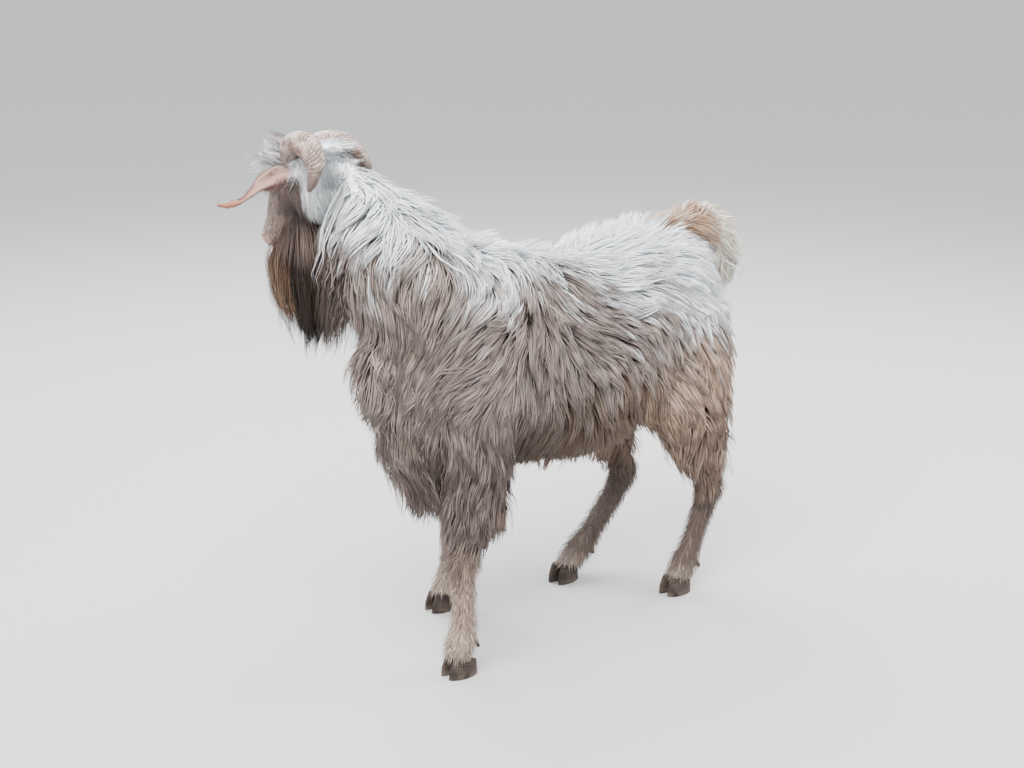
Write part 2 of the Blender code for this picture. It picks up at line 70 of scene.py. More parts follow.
# camera, floor and light
cameraView = {
    "place": (2.2827, -1.9439, 1.38),
    "aim": (-0.73384, 0.61853, -0.28088),
    "lens": 52.73,
    "sensor": 36.0,
}
studio = {
    "floorSize": 160.0,
    "floorColour": (0.36, 0.356, 0.348, 1.0),
    "floorRoughness": 0.9,
    "skyColour": (0.93, 0.96, 1.0, 1.0),
    "skyStrength": 2.15,
    "lamps": [               # place, aim, size, watts, colour
        ((1.2, -2.2, 3.6), (0.0, 0.0, 0.6), 3.0, 610.0, (1.0, 0.97, 0.94)),
        ((-2.4, 0.6, 3.4), (0.0, 0.0, 0.6), 2.6, 340.0, (0.95, 0.97, 1.0)),
        ((0.6, 2.6, 2.8), (0.0, 0.0, 0.6), 2.6, 240.0, (1.0, 0.98, 0.96)),
    ],
}


def deselectAll():
    bpy.ops.object.select_all(action="DESELECT")


def pick(piece):
    deselectAll()
    piece.select_set(True)
    bpy.context.view_layer.objects.active = piece


def turnTo(item, direction):
    item.rotation_mode = "QUATERNION"
    item.rotation_quaternion = Vector(direction).to_track_quat("-Z", "Y")


def setStage():
    bpy.ops.object.camera_add(location=cameraView["place"])
    camera = bpy.context.object
    turnTo(camera, cameraView["aim"])
    camera.data.sensor_width = cameraView["sensor"]
    camera.data.lens = cameraView["lens"]
    bpy.context.scene.camera = camera

    bpy.ops.mesh.primitive_plane_add(size=studio["floorSize"])
    floor = bpy.context.object
    floor.name = "floor"
    paint = bpy.data.materials.new("paleFloor")
    paint.use_nodes = True
    shader = paint.node_tree.nodes["Principled BSDF"]
    shader.inputs["Base Color"].default_value = studio["floorColour"]
    shader.inputs["Roughness"].default_value = studio["floorRoughness"]
    floor.data.materials.append(paint)

    for place, aim, size, watts, colour in studio["lamps"]:
        bpy.ops.object.light_add(type="AREA", location=place)
        lamp = bpy.context.object
        turnTo(lamp, Vector(aim) - Vector(place))
        lamp.data.size = size
        lamp.data.energy = watts
        lamp.data.color = colour

    sky = bpy.data.worlds.new("studioSky")
    bpy.context.scene.world = sky
    sky.use_nodes = True
    background = sky.node_tree.nodes["Background"]
    background.inputs["Color"].default_value = studio["skyColour"]
    background.inputs["Strength"].default_value = studio["skyStrength"]


setStage()
print("camera, floor and light are set")


# small tools for meshes as arrays
def pointsOf(mesh):
    flat = np.empty(len(mesh.vertices) * 3)
    mesh.vertices.foreach_get("co", flat)
    return flat.reshape(-1, 3)


def normalsOf(mesh):
    flat = np.empty(len(mesh.vertices) * 3)
    mesh.vertex_normals.foreach_get("vector", flat)
    return flat.reshape(-1, 3)


def movePoints(mesh, points):
    mesh.vertices.foreach_set("co", points.ravel())
    mesh.update()


def unit(rows):
    return rows / np.maximum(np.linalg.norm(rows, axis=-1, keepdims=True), 1e-9)


def dot(a, b):
    return np.sum(a * b, axis=-1, keepdims=True)


def smooth(value, low, high):
    t = np.clip((value - low) / (high - low), 0, 1)
    return t * t * (3 - 2 * t)


def neighbourMean(mesh):
    ends = np.empty(len(mesh.edges) * 2, dtype=np.int64)
    mesh.edges.foreach_get("vertices", ends)
    a, b = ends[::2], ends[1::2]
    total = len(mesh.vertices)
    count = np.maximum(np.bincount(ends, minlength=total), 1)

    def mean(values):
        columns = np.atleast_2d(values.T)
        sums = [np.bincount(a, c[b], total) + np.bincount(b, c[a], total) for c in columns]
        return (np.array(sums) / count).T.reshape(values.shape)

    return mean


def eased(points, mean, rounds, share=0.5):
    for _ in range(rounds):
        points = points + share * (mean(points) - points)
    return points


def setAttribute(mesh, name, values):
    kind, field = ("FLOAT", "value") if values.ndim == 1 else ("FLOAT_VECTOR", "vector")
    layer = mesh.attributes.new(name, kind, "POINT")
    layer.data.foreach_set(field, values.astype(np.float32).ravel())


def copyNode(nodeName, pieceName, swell=0.0):
    piece = bpy.data.objects.new(pieceName, nodes[nodeName].data.copy())
    bpy.context.scene.collection.objects.link(piece)
    piece.data.materials.clear()
    pick(piece)
    bpy.ops.object.mode_set(mode="EDIT")
    bpy.ops.mesh.select_all(action="SELECT")
    bpy.ops.mesh.remove_doubles(threshold=weldGap)
    bpy.ops.object.mode_set(mode="OBJECT")
    if swell:
        puff = piece.modifiers.new("swell", "DISPLACE")
        puff.strength = swell
        puff.mid_level = 0.0
        bpy.ops.object.modifier_apply(modifier=puff.name)
    return piece


def joined(pieces, name):
    deselectAll()
    for piece in pieces:
        piece.select_set(True)
    bpy.context.view_layer.objects.active = pieces[0]
    bpy.ops.object.join()
    pieces[0].name = name
    return pieces[0]


def remeshed(piece, voxel):
    pick(piece)
    block = piece.modifiers.new("remesh", "REMESH")
    block.mode = "VOXEL"
    block.voxel_size = voxel
    bpy.ops.object.modifier_apply(modifier=block.name)


def ballAt(place, radius, segments, rings):
    deselectAll()
    bpy.ops.mesh.primitive_uv_sphere_add(radius=radius, segments=segments, ring_count=rings, location=place)
    return bpy.context.object


def finishPiece(piece, material, slot, *replaced):
    pick(piece)
    bpy.ops.object.shade_smooth()
    piece.data.materials.append(material)
    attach(piece, "root")
    if replaced:
        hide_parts(*replaced)


# the head's own frame: level, facing -Y, with the back of the skull at the origin
head = {
    "turn": -74.0,
    "nod": 40.0,
    "tilt": 5.0,
    "eye": (0.0430, -0.0980, 0.0150),
    "eyeRadius": 0.0140,
}


def headFrame():
    turns = (("turn", "Z"), ("nod", "X"), ("tilt", "Y"))
    turn, nod, tilt = (Matrix.Rotation(math.radians(head[name]), 3, axis) for name, axis in turns)
    spin = turn @ nod @ tilt
    middle = Vector((0, 0, 0))
    for hand in ("left", "right"):
        low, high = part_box("eye_" + hand)
        middle += (low + high) / 4
    between = Vector((0, head["eye"][1], head["eye"][2]))
    return Matrix.Translation(middle - spin @ between) @ spin.to_4x4()


headMatrix = headFrame()
headSpin = np.array(headMatrix.to_3x3())
headPlace = np.array(headMatrix.translation)


def intoHead(points):
    return (points - headPlace) @ headSpin


def outOfHead(points):
    return np.asarray(points) @ headSpin.T + headPlace


def eyeCentre(sign):
    return np.array(head["eye"]) * (sign, 1, 1)


def eyeGap(local, sign):
    return np.linalg.norm(local - eyeCentre(sign), axis=1)


# the outline of the coat, and how far a point is inside it
outline = {
    "cell": 0.012,           # of the distance grid
    "margin": 0.06,
    "voxel": 0.0032,
    "overlap": 0.0012,       # each node swells by this, so that neighbours join
    "hornPads": [((0.0265, -0.062, 0.028), 0.0150), ((0.031, -0.046, 0.028), 0.0130)],
}


def buildOutline():
    forms = fleshNames + ["eye_left", "eye_right"]
    pieces = [copyNode(name, "form", outline["overlap"]) for name in forms]
    for sign in (1, -1):         # pads under each horn, where the CAD head has its socket
        for place, radius in outline["hornPads"]:
            pad = ballAt(outOfHead(np.array(place) * (sign, 1, 1)), radius, 24, 16)
            pick(pad)
            bpy.ops.object.transform_apply(location=True, rotation=True, scale=True)
            pieces.append(pad)
    whole = joined(pieces, "skin")
    remeshed(whole, outline["voxel"])
    return whole


def distanceGrid(piece):
    tree = BVHTree.FromObject(piece, bpy.context.evaluated_depsgraph_get())
    cell = outline["cell"]
    low = np.array(cadLow) - outline["margin"]
    count = np.ceil((np.array(cadHigh) + outline["margin"] - low) / cell).astype(int) + 1
    far = np.empty(count)
    for i in range(count[0]):
        for j in range(count[1]):
            for k in range(count[2]):
                spot = Vector((low[0] + i * cell, low[1] + j * cell, low[2] + k * cell))
                near, normal, _, gap = tree.find_nearest(spot)
                far[i, j, k] = gap if (spot - near).dot(normal) > 0 else -gap
    slopes = np.stack(np.gradient(far, cell), axis=-1)
    return {"low": low, "cell": cell, "far": far[..., None], "out": slopes}


def readGrid(field, name, points):
    grid = field[name]
    spot = (points - field["low"]) / field["cell"]
    spot = np.clip(spot, 0, np.array(grid.shape[:3]) - 1.001)
    base = spot.astype(int)
    part = spot - base
    total = 0
    for corner in range(8):
        step = np.array((corner & 1, corner >> 1 & 1, corner >> 2 & 1))
        share = np.prod(np.where(step, part, 1 - part), axis=1, keepdims=True)
        i, j, k = (base + step).T
        total = total + share * grid[i, j, k]
    return total


skin = buildOutline()
coatField = distanceGrid(skin)
print("outline of the coat measured,", len(skin.data.vertices), "points")


# the skin lies under the outline by the depth of the coat
skinMake = {
    "coatDepth": {"trunk": 0.046, "neck": 0.044, "upper_leg": 0.026, "tail": 0.020,
                  "head": 0.0035, "ear": 0.0015, "lower_leg": 0.0035},
    "spread": 45,            # rounds that even out the depth between regions
    "sinkSteps": 12,
    "sinkEase": 2,           # rounds of easing after each step
    "lastEase": 10,
    "deep": (0.007, 0.014),          # depths between which skin sinks along the outline's slope
    "hairy": (0.010, 0.020),
    "bodyTriangles": 70000,
    "weightLevels": 10,
    # the skull from between the horns to the nape, in the head's frame: y, then height
    "crownLine": ((-0.030, -0.010, 0.020, 0.045, 0.080), (0.033, 0.024, -0.004, -0.024, -0.042)),
}


def nodeTree():
    corners = []
    faces = []
    owner = []
    for index, name in enumerate(fleshNames):
        mesh = nodes[name].data
        base = len(corners)
        corners += [vertex.co.copy() for vertex in mesh.vertices]
        faces += [[base + v for v in face.vertices] for face in mesh.polygons]
        owner += [index] * len(mesh.polygons)
    return BVHTree.FromPolygons(corners, faces), np.array(owner)


def nearestNodes(points):
    tree, owner = nodeTree()
    return owner[[tree.find_nearest(Vector(p))[2] for p in points]]


def kindOf(name):
    return next(kind for kind in kinds if name.startswith(kind))


def sinkSkin(piece):
    mesh = piece.data
    mean = neighbourMean(mesh)
    points = pointsOf(mesh)
    depthOf = np.array([skinMake["coatDepth"][kindOf(name)] for name in fleshNames])
    depth = depthOf[nearestNodes(points)]
    for _ in range(skinMake["spread"]):
        depth = mean(depth)
    depth = depth[:, None]
    deep = smooth(depth, *skinMake["deep"])
    step = depth / skinMake["sinkSteps"]
    for _ in range(skinMake["sinkSteps"]):
        slope = readGrid(coatField, "out", points)
        steep = np.linalg.norm(slope, axis=1, keepdims=True)
        left = np.clip(depth + readGrid(coatField, "far", points), 0, step * 1.4)
        inward = deep * unit(slope) * left * smooth(steep, 0.3, 0.7)
        points = points - inward - (1 - deep) * normalsOf(mesh) * step
        points = eased(points, mean, skinMake["sinkEase"], 0.5 * np.clip(depth / 0.02, 0.2, 1))
        movePoints(mesh, points)
    remeshed(piece, outline["voxel"])
    points = pointsOf(piece.data)
    hairy = smooth(-readGrid(coatField, "far", points), *skinMake["hairy"])
    movePoints(piece.data, eased(points, neighbourMean(piece.data), skinMake["lastEase"], 0.5 * hairy))
    return hairy[:, 0]


def thinBody(piece, hairy):
    group = piece.vertex_groups.new(name="hairy")
    levels = skinMake["weightLevels"]
    levelOf = np.round(hairy * levels)
    for level in range(1, levels + 1):
        group.add(np.nonzero(levelOf == level)[0].tolist(), level / levels, "REPLACE")
    pick(piece)
    total = sum(len(face.vertices) - 2 for face in piece.data.polygons)
    bare = np.sum(levelOf == 0)
    thin = piece.modifiers.new("thin", "DECIMATE")
    thin.ratio = min(1.0, (skinMake["bodyTriangles"] + 2 * bare) / total)
    thin.vertex_group = "hairy"
    bpy.ops.object.modifier_apply(modifier=thin.name)
    piece.vertex_groups.clear()


def refine(mesh, wanted):
    bm = bmesh.new()
    bm.from_mesh(mesh)
    bm.verts.ensure_lookup_table()
    edges = [e for e in bm.edges if wanted[e.verts[0].index] and wanted[e.verts[1].index]]
    bmesh.ops.subdivide_edges(bm, edges=edges, cuts=1, use_grid_fill=True)
    bmesh.ops.triangulate(bm, faces=[f for f in bm.faces if len(f.verts) > 4])
    bm.to_mesh(mesh)
    bm.free()


# lines drawn into the face, in the head's frame, for the left side: width, depth, points;
# a negative depth is a ridge
faceLines = {
    "nostril": (0.0021, 0.0072, [(0.0065, -0.2455, -0.0385), (0.0125, -0.2460, -0.0320),
                                 (0.0195, -0.2400, -0.0265), (0.0235, -0.2330, -0.0245)]),
    "nostrilRim": (0.0034, -0.0016, [(0.0085, -0.2450, -0.0270), (0.0165, -0.2420, -0.0200),
                                     (0.0255, -0.2320, -0.0180), (0.0280, -0.2260, -0.0260)]),
    "mouth": (0.0016, 0.0042, [(0.0000, -0.2500, -0.0550), (0.0110, -0.2470, -0.0565),
                               (0.0180, -0.2250, -0.0580), (0.0220, -0.1980, -0.0560),
                               (0.0240, -0.1740, -0.0490)]),
    "upperLip": (0.0036, -0.0014, [(0.0060, -0.2500, -0.0480), (0.0170, -0.2380, -0.0500),
                                   (0.0240, -0.2050, -0.0480)]),
    "lowerLip": (0.0032, -0.0012, [(0.0060, -0.2460, -0.0630), (0.0160, -0.2280, -0.0650),
                                   (0.0210, -0.1980, -0.0620)]),
    "philtrum": (0.0014, 0.0022, [(0.0000, -0.2500, -0.0330), (0.0000, -0.2520, -0.0460)]),
    "mouthFold": (0.0026, 0.0016, [(0.0280, -0.1720, -0.0340), (0.0270, -0.1640, -0.0460),
                                   (0.0230, -0.1620, -0.0560)]),
    "cheekBone": (0.0080, -0.0028, [(0.0480, -0.1060, -0.0100), (0.0400, -0.1320, -0.0160),
                                    (0.0340, -0.1560, -0.0200)]),
    "noseHollow": (0.0095, 0.0026, [(0.0330, -0.1360, 0.0060), (0.0270, -0.1700, -0.0020),
                                    (0.0240, -0.2000, -0.0130)]),
    "tearGroove": (0.0020, 0.0020, [(0.0440, -0.1130, 0.0080), (0.0400, -0.1240, 0.0010),
                                    (0.0370, -0.1360, -0.0040)]),
    "templeHollow": (0.0100, 0.0026, [(0.0480, -0.0640, 0.0240), (0.0460, -0.0560, 0.0120)]),
    "jawHollow": (0.0110, 0.0030, [(0.0280, -0.1300, -0.0440), (0.0260, -0.1500, -0.0450)]),
}
# painted shade: the folds along these lines are coloured dark, in the nostrils, the mouth slit and the tear
# groove
shadedFaceLines = ("nostril", "mouth", "tearGroove")
# the hollow of the ear: width, depth, then points out along the ear
earLine = (0.0085, 0.0062, [(0.0600, -0.0520, 0.0140), (0.0840, -0.0720, 0.0210),
                            (0.1080, -0.0960, 0.0240), (0.1320, -0.1240, 0.0240)])
lid = {
    "axis": (0.930, -0.300, 0.200),
    "ahead": (0.0, -1.0, -0.10),
    "halfLength": 0.0118,
    "above": 0.0066,
    "below": 0.0054,
    "thick": 0.0017,         # of the lid over the eyeball
    "reach": 0.0205,
    "socket": 0.0110,        # from the eye's centre, behind the ball
    "rim": (0.0007, 0.0012, 0.0011),        # height, how far outside the opening, width
    "crease": (-0.0011, 0.0052, 0.0012),
    # painted shade along the lid opening
    "dark": (1.0, 0.0002, 0.0013),
}
faceMake = {
    "wholeHead": (-0.26, 0.0, 0.19, 0.09),          # front, back, half width, half height
    "muzzle": (-0.26, -0.185, 0.045, 0.09),
    "ease": 7,
    "longest": 0.12,         # reach of a face line from its own middle
    "wrinkles": 0.00012,
}


def dense(points, step=0.0008):
    rows = []
    for a, b in zip(points, points[1:]):
        a, b = np.array(a), np.array(b)
        count = max(2, int(np.linalg.norm(b - a) / step))
        rows += [a + (b - a) * t for t in np.linspace(0, 1, count, endpoint=False)]
    rows.append(np.array(points[-1]))
    return np.array(rows)


def alongLine(tree, local, line, sign):
    spots = dense([(sign * x, y, z) for x, y, z in line])
    spots = np.array([tree.find_nearest(Vector(p))[0] for p in outOfHead(spots)])
    spots = intoHead(spots)
    gaps = np.full(len(local), 1.0)
    close = np.nonzero(np.linalg.norm(local - spots.mean(0), axis=1) < faceMake["longest"])[0]
    for start in range(0, len(close), 4000):
        rows = close[start:start + 4000]
        gaps[rows] = np.min(np.linalg.norm(local[rows, None] - spots[None], axis=2), axis=1)
    return gaps


def eyeAxes(sign):
    out = unit(np.array(lid["axis"]) * (sign, 1, 1))
    ahead = np.array(lid["ahead"])
    ahead = unit(ahead - out * (ahead @ out))
    up = np.cross(out, ahead) * sign
    return ahead, up * (1 if up[2] > 0 else -1), out


def lidGap(local, sign):
    # how far inside the opening of the lids a point is
    ahead, up, out = eyeAxes(sign)
    rel = local - eyeCentre(sign)
    reach = np.linalg.norm(rel, axis=1)
    along = rel @ ahead / lid["halfLength"]
    height = rel @ up
    bow = np.sqrt(np.clip(1 - along ** 2, 0, 1))
    inside = np.minimum(lid["above"] * bow - height, height + lid["below"] * bow)
    beyond = np.maximum(np.abs(along) - 1, 0) * lid["halfLength"]
    outside = -np.hypot(beyond, np.abs(height)) - 0.0004
    return rel, reach, np.where((rel @ out > 0) & (np.abs(along) < 1), inside, outside)


def ridgeAt(inside, line):
    height, outside, width = line
    return height * np.exp(-((inside + outside) / width) ** 2)


def setLids(local, sign):
    # lids close over the eyeball, and the skin sinks behind it in their opening; the painted shade along the
    # opening is returned too
    rel, reach, inside = lidGap(local, sign)
    closed = head["eyeRadius"] + lid["thick"]
    target = np.maximum(reach, closed * np.exp(-np.maximum(-inside - 0.004, 0) / 0.02))
    target = target + ridgeAt(inside, lid["rim"]) + ridgeAt(inside, lid["crease"])
    openness = smooth(inside, -0.0004, 0.0006)
    target = target * (1 - openness) + lid["socket"] * openness
    edge = 1 - smooth(reach, lid["reach"] * 0.80, lid["reach"])
    blend = np.where(rel @ eyeAxes(sign)[2] > -0.002, edge, 0)
    moved = local + rel / np.maximum(reach, 1e-6)[:, None] * ((target - reach) * blend)[:, None]
    return moved, ridgeAt(inside, lid["dark"]) * blend


def lowerCrown(points):
    local = intoHead(points)
    x, y, z = np.abs(local[:, 0]), local[:, 1], local[:, 2]
    top = np.interp(y, *skinMake["crownLine"])
    share = smooth(-x, -0.072, -0.052) * smooth(y, -0.094, -0.072) * smooth(-y, -0.080, -0.050)
    local[:, 2] = z - share * np.maximum(z - top, 0) * (z < 0.09)
    return outOfHead(local)


def inZone(local, zone):
    front, back, wide, high = zone
    x, y, z = local.T
    return (y > front) & (y < back) & (np.abs(z) < high) & (np.abs(x) < wide)


def refineHead(mesh):
    # the whole head once, then the muzzle and the lids once more
    refine(mesh, inZone(intoHead(pointsOf(mesh)), faceMake["wholeHead"]))
    local = intoHead(pointsOf(mesh))
    lids = (eyeGap(local, 1) < lid["reach"]) | (eyeGap(local, -1) < lid["reach"])
    refine(mesh, inZone(local, faceMake["muzzle"]) | lids)
    points = pointsOf(mesh)
    local = intoHead(points)
    near = smooth(0.03 - local[:, 1], 0.0, 0.02) * (np.abs(local[:, 2]) < 0.1) * (local[:, 1] > -0.27)
    points = eased(points, neighbourMean(mesh), faceMake["ease"], 0.5 * near[:, None])
    movePoints(mesh, points)
    return points


def shapeFace(piece):
    mesh = piece.data
    movePoints(mesh, lowerCrown(pointsOf(mesh)))
    points = refineHead(mesh)
    tree = BVHTree.FromObject(piece, bpy.context.evaluated_depsgraph_get())
    normals = normalsOf(mesh)
    local = intoHead(points)
    # painted shade in the face's folds and along the lids
    dark = np.zeros(len(points))
    push = np.zeros(len(points))
    for name, (width, depth, line) in faceLines.items():
        for sign in (1, -1):
            gap = alongLine(tree, local, line, sign)
            share = np.exp(-(gap / width) ** 2)
            push -= depth * share
            if name in shadedFaceLines:
                dark = np.maximum(dark, share)
    width, depth, line = earLine
    for sign in (1, -1):
        gap = alongLine(tree, local, line, sign)
        push -= depth * np.exp(-(gap / width) ** 2)
    # fine wrinkles on the lips and round the nostrils
    wrinkle = np.sin(local[:, 2] * 2600 + np.sin(local[:, 0] * 900) * 2)
    push += faceMake["wrinkles"] * (wrinkle * smooth(-local[:, 1], 0.19, 0.22))
    points = points + normals * push[:, None]

    local = intoHead(points)
    for sign in (1, -1):
        local, lidShade = setLids(local, sign)
        dark = np.maximum(dark, lidShade)
    movePoints(mesh, outOfHead(local))
    return dark


def bareSkin(points):
    local = intoHead(points)
    muzzle = smooth(-local[:, 1], 0.205, 0.240) * (np.abs(local[:, 0]) < 0.05)
    lidsBare = np.zeros(len(points))
    for sign in (1, -1):
        _, reach, inside = lidGap(local, sign)
        lidsBare = np.maximum(lidsBare, smooth(inside, -0.0060, -0.0010) * (reach < 0.022))
    return np.clip(muzzle + lidsBare, 0, 1)


thinBody(skin, sinkSkin(skin))
paintedFoldShade = shapeFace(skin)
skin.data.validate()
skinPoints = pointsOf(skin.data)
skinNodes = nearestNodes(skinPoints)
setAttribute(skin.data, "foldShade", paintedFoldShade)
setAttribute(skin.data, "bareSkin", bareSkin(skinPoints))
print("skin shaped,", len(skin.data.polygons), "faces")


# colours of the coat, as they fall on the body
coatColours = {
    "white": (0.895, 0.94, 0.975),
    "beige": (0.23, 0.18, 0.158),
    "taupe": (0.134, 0.095, 0.082),
    "flank": (0.258, 0.206, 0.187),
    "tan": (0.49, 0.332, 0.238),
    "belly": (0.14, 0.084, 0.054),
    "shank": (0.49, 0.357, 0.283),
    "shankHind": (0.12, 0.084, 0.066),
    "shankDark": (0.09, 0.058, 0.045),
    "shankPale": (0.49, 0.385, 0.32),
    # face: partly the face's own colour, partly painted shade, darkened as for a face lying in shadow
    "face": (0.13, 0.085, 0.073),
    "facePale": (0.225, 0.16, 0.14),
    "earPink": (0.228, 0.127, 0.105),
    "earTip": (0.19, 0.07, 0.034),
    "beardRust": (0.205, 0.122, 0.080),
    "beardDark": (0.019, 0.0112, 0.0078),
    "beardGrey": (0.112, 0.08, 0.069),
    "tailRust": (0.43, 0.25, 0.148),
    "tailPale": (0.78, 0.7, 0.58),
    "pink": (0.4, 0.23, 0.195),
    "crease": (0.035, 0.022, 0.019),
    # crease is the colour of the painted shade in the face's folds and along the lids
    "chest": (0.245, 0.182, 0.158),
    "hindLow": (0.245, 0.16, 0.113),
    "rust": (0.2, 0.1, 0.05),
}


def newTree(name, inputs, outputs):
    tree = bpy.data.node_groups.new(name, "ShaderNodeTree")
    for label, kind in inputs:
        tree.interface.new_socket(label, in_out="INPUT", socket_type="NodeSocket" + kind)
    for label, kind in outputs:
        tree.interface.new_socket(label, in_out="OUTPUT", socket_type="NodeSocket" + kind)
    return tree, tree.nodes.new("NodeGroupInput"), tree.nodes.new("NodeGroupOutput")


def addNode(tree, kind, sockets=(), **settings):
    made = tree.nodes.new("ShaderNode" + kind)
    for key, value in settings.items():
        setattr(made, key, value)
    for key, value in dict(sockets).items():
        if isinstance(value, bpy.types.NodeSocket):
            tree.links.new(value, made.inputs[key])
        else:
            made.inputs[key].default_value = value
    return made


def maths(tree, operation, *values):
    return addNode(tree, "Math", enumerate(values), operation=operation).outputs[0]


def plus(tree, a, b):
    return maths(tree, "ADD", a, b)


def minus(tree, a, b):
    return maths(tree, "SUBTRACT", a, b)


def times(tree, a, b):
    return maths(tree, "MULTIPLY", a, b)


def vectorMaths(tree, operation, *values, output=0):
    return addNode(tree, "VectorMath", enumerate(values), operation=operation).outputs[output]


def axesOf(tree, place):
    return addNode(tree, "SeparateXYZ", {0: place}).outputs


def together(tree, *values):
    return addNode(tree, "CombineXYZ", enumerate(values)).outputs[0]


def fade(tree, value, low, high):
    sockets = {"Value": value, "From Min": low, "From Max": high}
    return addNode(tree, "MapRange", sockets, interpolation_type="SMOOTHSTEP").outputs[0]


def ramp(tree, value, low, high):
    return addNode(tree, "MapRange", {"Value": value, "To Min": low, "To Max": high}).outputs[0]


def mixed(tree, share, a, b, mode="MIX"):
    a = (*a, 1.0) if isinstance(a, tuple) else a
    b = (*b, 1.0) if isinstance(b, tuple) else b
    settings = {"data_type": "RGBA", "blend_type": mode, "clamp_result": True}
    return addNode(tree, "Mix", {0: share, 6: a, 7: b}, **settings).outputs[2]


def grain(tree, place, scale, detail=2.0):
    return addNode(tree, "TexNoise", {"Vector": place, "Scale": scale, "Detail": detail}).outputs["Fac"]


def oval(tree, place, centre, radii, soft=0.45):
    scaled = vectorMaths(tree, "DIVIDE", vectorMaths(tree, "SUBTRACT", place, centre), radii)
    far = vectorMaths(tree, "LENGTH", scaled, output="Value")
    return fade(tree, far, 1.0 + soft / 2, 1.0 - soft / 2)


# Coats of colour, each over the one before: its name, its strength, then its masks.
# A mask is a value's name and where it starts and ends, or an oval's centre, radii and softness.
bodyPaint = [
    ("tan", 1.0, ("back", 0.08, 0.30)),
    ("taupe", 1.0, ("back", 0.02, -0.20)),
    ("flank", 1.0, ("high", 0.44, 0.60)),
    ("taupe", 0.8, ("back", -0.02, -0.30), ("high", 0.80, 0.58)),
    ("tan", 1.0, ("back", 0.18, 0.36), ("high", 0.66, 0.50)),
    ("hindLow", 1.0, ("back", 0.18, 0.36), ("high", 0.66, 0.50), ("high", 0.50, 0.40)),
    ("chest", 1.0, ("back", -0.27, -0.37), ("high", 0.38, 0.46)),
    ("rust", 1.0, ((0.165, -0.180, 0.290), (0.080, 0.045, 0.060), 0.6)),
    ("beige", 1.0, ("high", 0.60, 0.80)),
    ("white", 1.0, ("level", 0.730, 0.830)),
    ("flank", 0.24, ((0.20, 0.10, 0.625), (0.30, 0.20, 0.085), 0.9), ("fine", 0.32, 0.66)),
    ("taupe", 0.36, ((0.20, -0.075, 0.660), (0.20, 0.075, 0.060), 0.9)),
    ("flank", 0.50, ((0.20, 0.235, 0.735), (0.09, 0.045, 0.022), 0.9)),
    ("flank", 0.50, ((0.20, 0.270, 0.690), (0.09, 0.045, 0.022), 0.9)),
    ("flank", 0.50, ((0.20, 0.170, 0.655), (0.09, 0.045, 0.022), 0.9)),
]
shankPaint = [
    ("shankHind", 1.0, ("back", -0.05, 0.10)),
    ("shankDark", 0.55, ("strand", 0.52, 0.70)),
    ("shankPale", 0.75, ("low", 0.135, 0.090)),
]
kneePaint = [("shankDark", 0.75, ((0.160, -0.335, 0.232), (0.034, 0.030, 0.019), 0.6))]
tailLowPaint = [("tailPale", 1.0, ("back", 0.49, 0.57)), ("tailRust", 0.6, ("z", 0.70, 0.64))]
tailTopPaint = [("tailPale", 1.0, ("back", 0.480, 0.540))]
tailRootPaint = [("tailRust", 1.0, ((0.036, 0.412, 0.850), (0.060, 0.098, 0.050), 0.4))]
facePaint = [
    ("facePale", 1.0, ("rough", 0.42, 0.62)),
    ("beardGrey", 0.5, ("strand", 0.52, 0.70)),
    ("white", 1.0, ("up", 0.026, 0.046), ("ahead", 0.125, 0.085)),
    ("beardGrey", 1.0, ("up", -0.006, -0.028), ("ahead", 0.165, 0.135)),
    ("beardDark", 0.6, ("up", -0.020, -0.045), ("ahead", 0.150, 0.120)),
    ("white", 1.0, ("rear", 0.060, 0.042)),
    ("pink", 0.75, ("ahead", 0.205, 0.240)),
    ("earPink", 1.0, ("across", 0.056, 0.075)),
    ("earTip", 1.0, ("across", 0.110, 0.150)),
]
markingAt = {
    "roughGrain": (7.0, 0.22),       # scale, and how far it shifts an edge, in metres
    "fineGrain": (34.0, 0.10),
    "strandGrain": 60.0,
    "rump": (-0.08, 0.28, 0.16),     # the white reaches lower here: y from and to, how much
    "neck": (-0.20, -0.38, -0.085),
    "hindSock": (-0.05, 0.10, 0.052),
    "shank": (0.270, 0.225),         # z where the lower leg's colours start and end
    "tail": ((0.036, 0.505, 0.750), (0.090, 0.125, 0.125), 0.25),
    "tailTop": (0.790, 0.820),
    "head": ((0.0, -0.115, -0.010), (0.200, 0.150, 0.085), 0.06),
    "headStart": (0.012, 0.030),
}


def painted(tree, colour, coats, values):
    for name, strength, *masks in coats:
        share = None
        for mask in masks:
            if isinstance(mask[0], str):
                made = fade(tree, values[mask[0]], *mask[1:])
            else:
                made = oval(tree, values["place"], *mask)
            share = made if share is None else times(tree, share, made)
        if strength < 1:
            share = times(tree, share, strength)
        colour = mixed(tree, share, colour, coatColours[name])
    return colour


def slopeOf(tree, value, start, end, amount):
    return times(tree, fade(tree, value, start, end), amount)


def headValues(tree, v):
    spin = headMatrix.inverted()
    settings = {"Vector": v["place"], "Location": spin.to_translation(), "Rotation": spin.to_euler()}
    turned = addNode(tree, "Mapping", settings).outputs[0]
    x, y, up = axesOf(tree, turned)
    ahead = times(tree, y, -1.0)
    rear = times(tree, maths(tree, "MINIMUM", up, 0.010), 0.6)
    rear = plus(tree, ahead, plus(tree, rear, times(tree, v["shake"], 0.12)))
    return {**v, "turned": turned, "across": maths(tree, "ABSOLUTE", x), "ahead": ahead,
            "up": up, "rear": rear}


